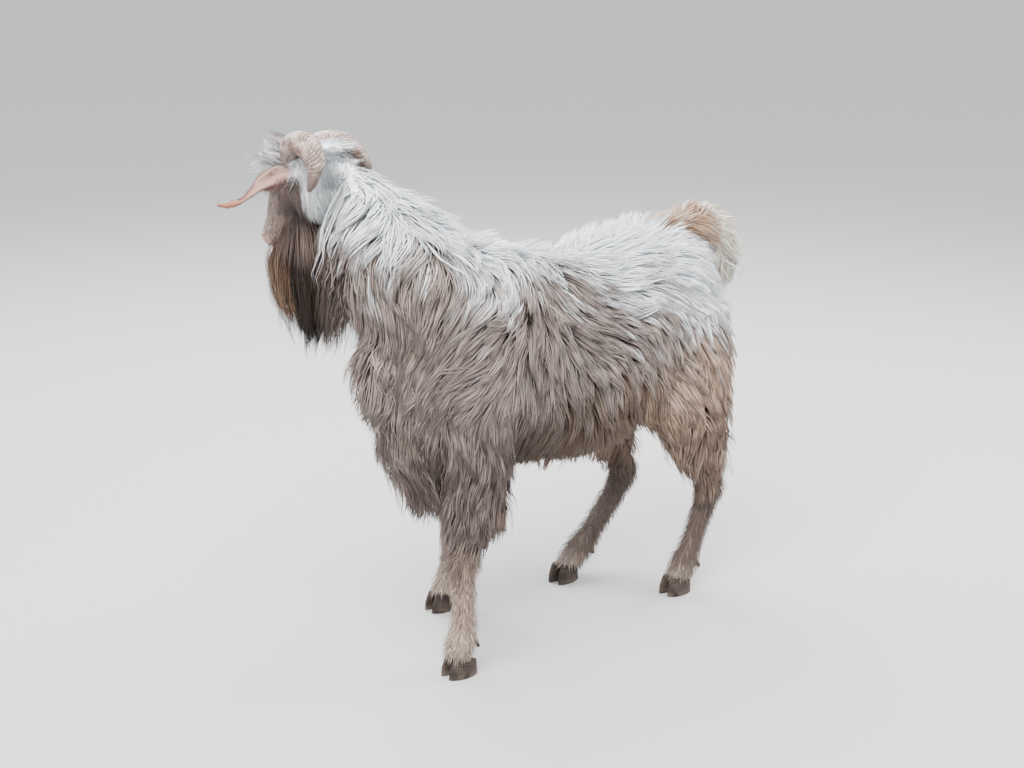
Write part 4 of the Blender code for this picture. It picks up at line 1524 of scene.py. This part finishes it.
def tailTint(tree, place, along, shade, _):
    c = coatColours
    colour = mixed(tree, fade(tree, shade, 0.72, 1.05), c["tailRust"], c["tailPale"])
    return mixed(tree, slopeOf(tree, along, 0.60, 1.0, 0.50), colour, c["tailPale"])


tailHair = coatMaterial("tailHair", tailTint)
addCoat("coat_tailRoot", growHair(tailRoot, tailRootDensity(), tailRootLie), tailHair, "tan_coat")
print("fringes grown")


# hair on the head: place in the head's frame, lie, length, how proud
faceLie = [
    ((0.008, -0.235, -0.030), (0.20, -0.60, -0.60), 0.0045, 0.0004),
    ((0.008, -0.195, 0.000), (0.10, -1.00, -0.15), 0.0070, 0.0006),
    ((0.008, -0.140, 0.020), (0.15, -1.00, 0.00), 0.0090, 0.0010),
    ((0.030, -0.160, -0.020), (0.20, -0.80, -0.50), 0.0090, 0.0008),
    ((0.022, -0.200, -0.050), (0.10, -0.70, -0.60), 0.0070, 0.0008),
    ((0.040, -0.110, -0.020), (0.10, -0.65, -0.75), 0.0200, 0.0020),
    ((0.030, -0.140, -0.050), (0.05, -0.64, -0.77), 0.0300, 0.0040),
    ((0.030, -0.080, -0.050), (0.05, -0.45, -0.85), 0.0480, 0.0070),
    ((0.035, -0.040, -0.045), (0.20, -0.20, -0.95), 0.0800, 0.0170),
    ((0.045, -0.060, -0.010), (0.25, -0.20, -0.95), 0.0450, 0.0050),
    ((0.010, -0.100, 0.040), (0.20, -0.95, 0.20), 0.0350, 0.0050),
    ((0.010, -0.060, 0.040), (0.30, -0.90, 0.05), 0.0260, -0.0160),
    ((0.015, -0.015, 0.030), (0.25, 0.90, -0.15), 0.0280, -0.0140),
    ((0.045, -0.025, 0.000), (0.30, 0.20, -0.85), 0.0720, 0.0160),
    ((0.056, -0.052, 0.012), (0.60, -0.70, -0.10), 0.0300, 0.0040),
    ((0.105, -0.104, 0.021), (0.70, -0.70, 0.10), 0.0070, 0.0005),
    ((0.155, -0.155, 0.031), (0.65, -0.70, 0.15), 0.0050, 0.0004),
]


def headLie(points, _=None):
    local = intoHead(points)
    sign = np.where(local[:, 0] < 0, -1.0, 1.0)
    folded = np.stack((np.abs(local[:, 0]), local[:, 1], local[:, 2]), axis=1)
    found = blendLie(folded, sign, faceLie, lieBlend["head"])
    found[:, :3] = unit(found[:, :3] @ headSpin.T)
    return found


headLocks = {
    "tufts": 3600,
    "steps": 4,
    "perLock": 9,
    "halfWidth": 0.0010,
    "pull": 0.75,
    "wave": 0.0022,
    "atRoot": True,
    "scatter": 0.003,
    "lockSize": (0.012, 0.022),
    "limit": (0.002, 0.013),
    "outer": 0.3,
}
forelock = {
    "tufts": 1150,
    "steps": 6,
    "perLock": 22,
    "halfWidth": 0.0011,
    "pull": 0.86,
    "wave": 0.0120,
    "turns": (0.7, 1.5),
    "curl": 1.3,
    "poll": 0.0,
    "atRoot": True,
    "scatter": 0.002,
    "lockSize": (0.03, 0.05),
    "limit": (0.022, 0.060),
    "outer": 0.55,
    "twist": 0.30,
    "stray": 0.0,
    "aim": (0.25, -0.58, 0.78),
    "lengthProud": (0.074, 0.056),
    "brow": ((0.0, -0.080, 0.034), (0.046, 0.022, 0.026)),       # middle and radii of where it grows
}


def forelockLie(points, _):
    lie = headLie(points)
    aim = unit(outOfHead(forelock["aim"]) - headPlace)
    lie[:, :3] = unit(lie[:, :3] * 0.1 + aim)
    lie[:, 3:] = forelock["lengthProud"]
    return lie


def headDensity():
    # of the locks, then of the short hair, both kept off the eyes
    local = intoHead(skinPoints)
    onHead = kindDensity({"head": 1.0, "ear": 0.6})
    length = headLie(skinPoints)[:, 3]
    gap = np.minimum(eyeGap(local, 1), eyeGap(local, -1))
    clear = smooth(gap, 0.0150, 0.0185)
    return onHead * clear ** 3 * smooth(length, 0.018, 0.030), onHead * clear


manyDensity, shortDensity = headDensity()
faceHair = coatMaterial("faceHair")
browMiddle, browRadii = forelock["brow"]
browGap = np.linalg.norm((intoHead(skinPoints) - browMiddle) / browRadii, axis=1)
browDensity = kindDensity({"head": 1.0}) * smooth(-browGap, -1.0, -0.6)
addCoat("coat_head", clearOfHorns(growHair(headLocks, manyDensity, headLie)), faceHair, "face")
addCoat("coat_forelock", clearOfHorns(growHair(forelock, browDensity, forelockLie)), faceHair, "face")
print("locks of the head grown")


# short hair of face, ears and lower legs, only breaking the form
shortHair = {
    "face": {"tufts": 8000, "halfWidth": 0.00050, "longer": 1.25},
    "ear": {"tufts": 2600, "halfWidth": 0.00050, "longer": 1.1},
    "shank": {"tufts": 9000, "halfWidth": 0.00092, "longer": 1.0},
    "buried": 0.0006,        # of each root, under the skin
    "longest": 0.030,
    "earBack": (0.56, 0.61, 0.24),   # the back of the left ear faces this way, and is bald
    "bald": (0.10, 0.45),
    "lips": (0.208, 0.232),          # hair thins out between these, ahead of the nape
}
shankHairs = {
    "heights": (0.03, 0.06, 0.10, 0.16, 0.22, 0.27),
    "lengths": (0.020, 0.025, 0.027, 0.025, 0.030, 0.038),
    "proud": (0.0045, 0.0065, 0.0080, 0.0078, 0.0080, 0.0100),
}


def shankLie(points, _):
    lie = np.zeros((len(points), 5))
    lie[:, 2] = -1.0
    lie[:, :2] = dice.normal(0, 0.08, (len(points), 2))
    lie[:, 3] = np.interp(points[:, 2], shankHairs["heights"], shankHairs["lengths"])
    lie[:, 4] = np.interp(points[:, 2], shankHairs["heights"], shankHairs["proud"])
    return lie


def growShort(s, density, lieAt):
    roots, normals, corner = sampleSkin(skin.data, density, s["tufts"])
    count = len(roots)
    lie = lieAt(roots, corner)
    flat = lie[:, :3] + dice.normal(0, 0.10, (count, 3))
    flat = unit(flat - dot(flat, normals) * normals)
    length = np.minimum(lie[:, 3], shortHair["longest"]) * dice.uniform(0.7, 1.25, count)
    length = (length * s["longer"])[:, None]
    rise = (lie[:, 4] * dice.uniform(0.4, 1.6, count))[:, None]
    buried = shortHair["buried"]
    start = roots - normals * buried
    middle = roots + flat * length * 0.5 + normals * (buried + 0.6 * rise)
    tip = roots + flat * length + normals * rise
    paths = np.stack((start, middle, tip), axis=1)
    outs = np.repeat(normals[:, None], 3, axis=1)
    return {"paths": paths, "outs": outs, "shade": dice.random(count), "place": roots, "roots": roots,
            "width": s["halfWidth"] * dice.uniform(0.7, 1.3, count), "node": skinNodes[corner]}


localSkin = intoHead(skinPoints)
lips = 1 - smooth(-localSkin[:, 1], *shortHair["lips"])
earBack = np.tile(shortHair["earBack"], (len(skinPoints), 1))
earBack[:, 0] *= np.where(localSkin[:, 0] < 0, -1, 1)
facing = dot(normalsOf(skin.data) @ headSpin, unit(earBack))[:, 0]
furry = 1 - smooth(facing, *shortHair["bald"])
faceDensity = shortDensity * kindDensity({"head": 1.0}) * lips
earDensity = kindDensity({"ear": 1.0}) * furry
shankDensity = kindDensity({"lower_leg": 1.0, "upper_leg": 0.3}) * smooth(-skinPoints[:, 2], -0.32, -0.27)
addCoat("coat_face", growShort(shortHair["face"], faceDensity, headLie), faceHair, "face", ridge=0.35)
addCoat("coat_ears", growShort(shortHair["ear"], earDensity, headLie), faceHair, "skin", ridge=0.35)
addCoat("coat_shanks", growShort(shortHair["shank"], shankDensity, shankLie), hair, "taupe_coat", ridge=0.45)
print("short hair grown")


# the beard hangs from the jaw
beard = {
    "tufts": 2600,
    "rings": 8,
    "perLock": 20,
    "halfWidth": 0.00095,
    "shift": (0.0, 0.0, 0.0),        # from the chin
    "slant": 0.0,            # forwards, for each metre down
    "start": (-0.045, 0.080),
    "end": (0.165, 0.245),
    # how far under the chin, forward, half width, half length
    "rows": [(-0.030, -0.010, 0.024, 0.045), (0.000, -0.018, 0.036, 0.064), (0.070, -0.018, 0.046, 0.088),
             (0.150, -0.020, 0.043, 0.084), (0.215, -0.024, 0.032, 0.064), (0.250, -0.026, 0.020, 0.046)],
}
# a second, paler curtain of hair under the throat
throat = {
    "tufts": 1450,
    "rings": 6,
    "perLock": 13,
    "halfWidth": 0.0012,
    "shift": (0.108, 0.041, 0.045),
    "slant": 0.30,
    "start": (-0.060, 0.130),
    "end": (0.120, 0.300),
    "rows": [(-0.080, -0.020, 0.030, 0.028), (0.000, -0.012, 0.045, 0.038), (0.120, -0.010, 0.050, 0.050),
             (0.250, -0.014, 0.045, 0.054), (0.320, -0.016, 0.040, 0.048)],
}
beardCurl = {"least": 0.0020, "most": 0.0100, "power": 4, "turns": (1.2, 2.4), "range": (0.3, 1.6)}
beardForm = {
    "chin": (0.0, -0.165, -0.055),
    "loose": 0.10,           # of a hair from its lock, as a share of the half width
    "draw": 0.85,            # how far a lock's hairs draw together
    "frontShorter": 0.055,
    "rootWidth": 0.55,       # at the roots, as a share of the half width and half length
    "rootLength": 0.65,
}
chin = outOfHead(beardForm["chin"])
chinAhead = unit((outOfHead((0, -1, 0)) - headPlace) * (1, 1, 0))
chinSide = np.array((-chinAhead[1], chinAhead[0], 0.0))


def growBeard(s):
    rowDrop, rowShift, rowWide, rowLong = np.array(s["rows"]).T
    count = s["tufts"]
    lockCount = count // s["perLock"]
    angle = dice.random(lockCount) * 2 * math.pi
    reach = np.sqrt(dice.random(lockCount)) * 0.96
    lock = dice.integers(0, lockCount, count)
    t = np.linspace(0, 1, s["rings"])[None]
    loose, rootWidth, rootLength = beardForm["loose"], beardForm["rootWidth"], beardForm["rootLength"]
    lockAcross, lockAhead = (reach * np.cos(angle))[lock], (reach * np.sin(angle))[lock]
    across = lockAcross + dice.normal(0, loose, count)
    ahead = lockAhead + dice.normal(0, loose, count)
    start = dice.uniform(*s["start"], count) * (0.3 + 0.7 * reach[lock])
    end = dice.uniform(*s["end"], lockCount)[lock] + dice.normal(0, 0.010, count)
    end = end - beardForm["frontShorter"] * np.clip(ahead, 0, 1)
    drop = start[:, None] + (end - start)[:, None] * t
    draw = beardForm["draw"] * t ** 1.5
    across = across[:, None] + (lockAcross - across)[:, None] * draw
    ahead = ahead[:, None] + (lockAhead - ahead)[:, None] * draw
    wide = np.interp(drop, rowDrop, rowWide)
    long = np.interp(drop, rowDrop, rowLong)
    shift = np.interp(drop, rowDrop, rowShift)
    turns = dice.uniform(*beardCurl["turns"], lockCount)[lock][:, None]
    phase = dice.random(lockCount)[lock][:, None]
    amount = dice.uniform(*beardCurl["range"], lockCount)[lock][:, None]
    curl = beardCurl["least"] + beardCurl["most"] * t ** beardCurl["power"] * amount
    swing = curl * np.sin((t * turns + phase) * 2 * math.pi)
    sway = curl * np.cos((t * turns + phase) * 2 * math.pi)
    grow = smooth(t, 0.0, 0.25)
    sideways = across * wide * (rootWidth + (1 - rootWidth) * grow) + swing
    forwards = shift + ahead * long * (rootLength + (1 - rootLength) * grow) + sway
    paths = chin + np.array(s["shift"]) + chinSide * sideways[..., None] + chinAhead * forwards[..., None]
    paths = paths + chinAhead * (s["slant"] * (drop - start[:, None]))[..., None]
    paths[..., 2] -= drop
    outward = chinSide * lockAcross[:, None] + chinAhead * lockAhead[:, None]
    outs = np.repeat(unit(outward)[:, None], s["rings"], axis=1)
    shade = np.clip(0.6 * dice.random(lockCount)[lock] + 0.4 * dice.random(count), 0, 1)
    return {"paths": paths, "outs": outs, "shade": shade, "place": paths[:, s["rings"] // 2 - 1].copy(),
            "roots": paths[:, 0], "width": s["halfWidth"] * dice.uniform(0.7, 1.4, count)}


def jitter(tree, value, amount):
    return times(tree, minus(tree, value, 0.5), amount)


def beardTint(tree, place, along, shade, _):
    # grey behind, dark in the middle, rust in front, paler at the jaw and dark at the tips
    c = coatColours
    off = vectorMaths(tree, "SUBTRACT", place, tuple(chin))
    ahead = vectorMaths(tree, "DOT_PRODUCT", off, tuple(chinAhead), output="Value")
    ahead = plus(tree, ahead, jitter(tree, shade, 0.055))
    ahead = plus(tree, ahead, jitter(tree, grain(tree, place, 22.0), 0.060))
    dark = times(tree, fade(tree, ahead, -0.095, -0.065), fade(tree, shade, 1.10, 0.82))
    colour = mixed(tree, dark, c["beardGrey"], c["beardDark"])
    colour = mixed(tree, fade(tree, ahead, -0.022, 0.012), colour, c["beardRust"])
    down = minus(tree, float(chin[2]), axesOf(tree, objectPlace(tree))[2])
    pale = times(tree, fade(tree, down, 0.085, 0.025), fade(tree, shade, 0.05, 0.35))
    colour = mixed(tree, times(tree, pale, 0.85), colour, c["facePale"])
    return mixed(tree, fade(tree, along, 0.72, 1.0), colour, c["beardDark"])


def throatTint(tree, place, along, shade, colour):
    # dark strands low down, white above
    high = plus(tree, axesOf(tree, objectPlace(tree))[2], jitter(tree, shade, 0.080))
    strand = times(tree, fade(tree, shade, 0.66, 0.44), fade(tree, high, 0.870, 0.820))
    colour = mixed(tree, times(tree, strand, 0.72), colour, coatColours["beardDark"])
    return mixed(tree, fade(tree, high, 0.830, 0.905), colour, coatColours["white"])


beardHair = coatMaterial("beardHair", beardTint, mattFinish)
addCoat("beardLocks", growBeard(beard), beardHair, "tan_coat", "beard")
throatHair = coatMaterial("throatHair", throatTint, mattFinish)
addCoat("coat_throat", growBeard(throat), throatHair, "white_coat")
print("beard and throat grown")


# horns: ringed, curling back, down and forward
horns = {
    "voxel": 0.0016,
    "ease": 6,
    "middle": {"left": (-0.0200, -0.0060), "right": (-0.0295, -0.0140)},     # of the curl: y and z
    "start": 0.9,            # angle from the horn's root to straight ahead
    "ringStep": 0.135,       # of the curl's angle, from one ring to the next
    "ringHeight": 0.0010,
    "smoothTip": (0.6, 0.95),        # share of the curl where the rings die out
    "sharpness": 0.7,
    "colour": ((0.240, 0.172, 0.150), (0.078, 0.048, 0.036)),
    # the ridge colour is a painted highlight on the ridges of the rings, the next a painted shade in their
    # grooves
    "ridge": (0.46, 0.370, 0.345),
    "grooveShade": (0.070, 0.044, 0.034),
    # tip: painted shade at the end of the curl, where the curl shades itself
    "tip": (0.075, 0.052, 0.040),
}


def hornMaterial():
    made, tree, shader = newMaterial("hornRinged", {"Roughness": 0.46, "Specular IOR Level": 0.45})
    place = objectPlace(tree)
    ring = readAttribute(tree, "hornRing")
    rough = grain(tree, place, 60.0, 4.0)
    fibre = grain(tree, place, 420.0, 3.0)
    flakes = grain(tree, place, 170.0, 3.0)
    colour = mixed(tree, fade(tree, rough, 0.38, 0.60), *horns["colour"])
    # painted highlight on the ridges of the rings and painted shade in their grooves, both mottled by flakes
    ridge = times(tree, fade(tree, ring, 0.1, 0.9), fade(tree, flakes, 0.40, 0.60))
    colour = mixed(tree, times(tree, ridge, 0.55), colour, horns["ridge"])
    grooveShade = times(tree, fade(tree, ring, -0.3, -1.0), fade(tree, flakes, 0.65, 0.40))
    colour = mixed(tree, times(tree, grooveShade, 0.60), colour, horns["grooveShade"])
    # painted shade darkens the end of the curl
    colour = mixed(tree, fade(tree, readAttribute(tree, "hornTip"), 0.72, 0.98), colour, horns["tip"])
    tree.links.new(colour, shader.inputs["Base Color"])
    bump(tree, shader, plus(tree, fibre, times(tree, rough, 2.0)), 0.5, 0.0007)
    return made


def hornRings(local, y, z):
    # height of the rings, their wave, and how far round the curl a point is
    angle = np.arctan2(local[:, 2] - z, -(local[:, 1] - y))     # grows from brow, over, to the back
    curl = np.mod(angle + horns["start"], 2 * math.pi)
    lean = curl + 0.10 * np.sin(local[:, 0] * 120)
    wobble = 0.9 * np.sin(curl * 3.1 + 1.0) + 0.5 * np.sin(curl * 7.7 + local[:, 0] * 60)
    wave = np.sin(lean / horns["ringStep"] * 2 * math.pi + wobble)
    share = curl / np.percentile(curl, 99.5)
    height = horns["ringHeight"] * (0.45 + 0.55 * np.sin(lean * 2.3) ** 2)
    height = height * (1 - smooth(share, *horns["smoothTip"]))
    return height * (np.sign(wave) * np.abs(wave) ** horns["sharpness"]), wave, share


def buildHorn(hand, material):
    piece = copyNode("horn_" + hand, "hornShape_" + hand)
    remeshed(piece, horns["voxel"])
    mesh = piece.data
    points = eased(pointsOf(mesh), neighbourMean(mesh), horns["ease"])
    movePoints(mesh, points)
    height, wave, share = hornRings(intoHead(points), *horns["middle"][hand])
    movePoints(mesh, points + normalsOf(mesh) * height[:, None])
    setAttribute(mesh, "hornRing", wave)
    setAttribute(mesh, "hornTip", share)
    finishPiece(piece, material, "horn", "horn_" + hand)


hornSkin = hornMaterial()
for hand in ("left", "right"):
    buildHorn(hand, hornSkin)
print("horns built")


# eyes
eyeMake = {
    "radius": 0.0134,
    "bulge": 0.0011,         # of the clear front
    "bulgeReach": 0.0085,
    "iris": 0.0096,
    "pupil": (0.0060, 0.0017, 1.0),
    "amber": ((0.48, 0.25, 0.050), (0.62, 0.40, 0.120)),
    "irisEdge": (0.22, 0.10, 0.025),
    "slit": (0.006, 0.005, 0.005),
    "ball": (0.045, 0.025, 0.016),
}


def eyeMaterial():
    finish = {"Roughness": 0.08, "Coat Weight": 1.0, "Coat Roughness": 0.02}
    made, tree, shader = newMaterial("amberEye", finish)
    iris = eyeMake["iris"]
    x, y, _ = axesOf(tree, readAttribute(tree, "gaze", "Vector"))
    flat = together(tree, x, y)
    reach = vectorMaths(tree, "LENGTH", flat, output="Value")
    spokes = grain(tree, vectorMaths(tree, "NORMALIZE", flat), 9.0, 3.0)
    amber = mixed(tree, fade(tree, spokes, 0.35, 0.70), *eyeMake["amber"])
    amber = mixed(tree, fade(tree, reach, eyeMake["pupil"][0], iris), amber, eyeMake["irisEdge"])
    # the pupil is an oblong slit that lies level
    across, up, _ = axesOf(tree, vectorMaths(tree, "DIVIDE", flat, eyeMake["pupil"]))
    sides = [maths(tree, "POWER", maths(tree, "ABSOLUTE", side), 4.0) for side in (across, up)]
    colour = mixed(tree, fade(tree, plus(tree, *sides), 1.25, 0.80), amber, eyeMake["slit"])
    colour = mixed(tree, fade(tree, reach, iris - 0.0004, iris + 0.0006), colour, eyeMake["ball"])
    tree.links.new(colour, shader.inputs["Base Color"])
    return made


def buildEye(hand, material):
    sign = 1 if hand == "left" else -1
    piece = ballAt((0, 0, 0), eyeMake["radius"], 64, 40)
    piece.name = "eyeball_" + hand
    mesh = piece.data
    points = pointsOf(mesh)
    reach = np.hypot(points[:, 0], points[:, 1])
    bulge = eyeMake["bulge"] * np.cos(np.clip(reach / eyeMake["bulgeReach"], 0, 1) * math.pi / 2) ** 2
    points[:, 2] += np.where(points[:, 2] > 0, bulge, 0)
    setAttribute(mesh, "gaze", np.where(points[:, 2:] > 0, points, 0.02))
    axes = np.stack(eyeAxes(sign))
    if np.linalg.det(axes) < 0:
        mesh.flip_normals()
    movePoints(mesh, outOfHead(points @ axes + eyeCentre(sign)))
    finishPiece(piece, material, "eye", "eye_" + hand)


eyeGlass = eyeMaterial()
for hand in ("left", "right"):
    buildEye(hand, eyeGlass)
print("eyes set")


# hooves and dewclaws
hoofMake = {
    "voxel": 0.0015,
    "ease": 5,
    "sole": 0.0010,          # points lower than this stay flat
    "rings": 0.00022,
    "dark": ((0.014, 0.009, 0.007), (0.038, 0.026, 0.021)),
    "dust": (0.11, 0.09, 0.075),
    "dustEdge": (0.016, 0.002),
}


def hoofMaterial():
    made, tree, shader = newMaterial("hoofHorn", {"Roughness": 0.66, "Specular IOR Level": 0.25})
    place = objectPlace(tree)
    rough = grain(tree, place, 40.0, 4.0)
    flat = addNode(tree, "Mapping", {"Vector": place, "Scale": (30.0, 30.0, 520.0)}).outputs[0]
    colour = mixed(tree, fade(tree, rough, 0.35, 0.65), *hoofMake["dark"])
    dust = fade(tree, axesOf(tree, place)[2], *hoofMake["dustEdge"])
    dust = times(tree, dust, fade(tree, rough, 0.38, 0.60))
    colour = mixed(tree, times(tree, dust, 0.4), colour, hoofMake["dust"])
    tree.links.new(colour, shader.inputs["Base Color"])
    bump(tree, shader, grain(tree, flat, 1.0, 2.0), 0.5, 0.0010)
    return made


def buildHoof(name, material):
    piece = copyNode(name, "shape_" + name)
    remeshed(piece, hoofMake["voxel"])
    mesh = piece.data
    points = pointsOf(mesh)
    free = (points[:, 2:] >= hoofMake["sole"]) * 0.5
    points = eased(points, neighbourMean(mesh), hoofMake["ease"], free)
    points[:, 2] = np.maximum(points[:, 2], 0.0)
    movePoints(mesh, points)
    rings = np.sin(points[:, 2] * 900 + points[:, 1] * 160) * smooth(points[:, 2], 0.004, 0.012)
    movePoints(mesh, points + normalsOf(mesh) * (hoofMake["rings"] * rings)[:, None])
    finishPiece(piece, material, "hoof", name)


hoofHorn = hoofMaterial()
for name in sorted(nodes):
    if name.startswith(("hoof", "dewclaw")):
        buildHoof(name, hoofHorn)
print("hooves built")
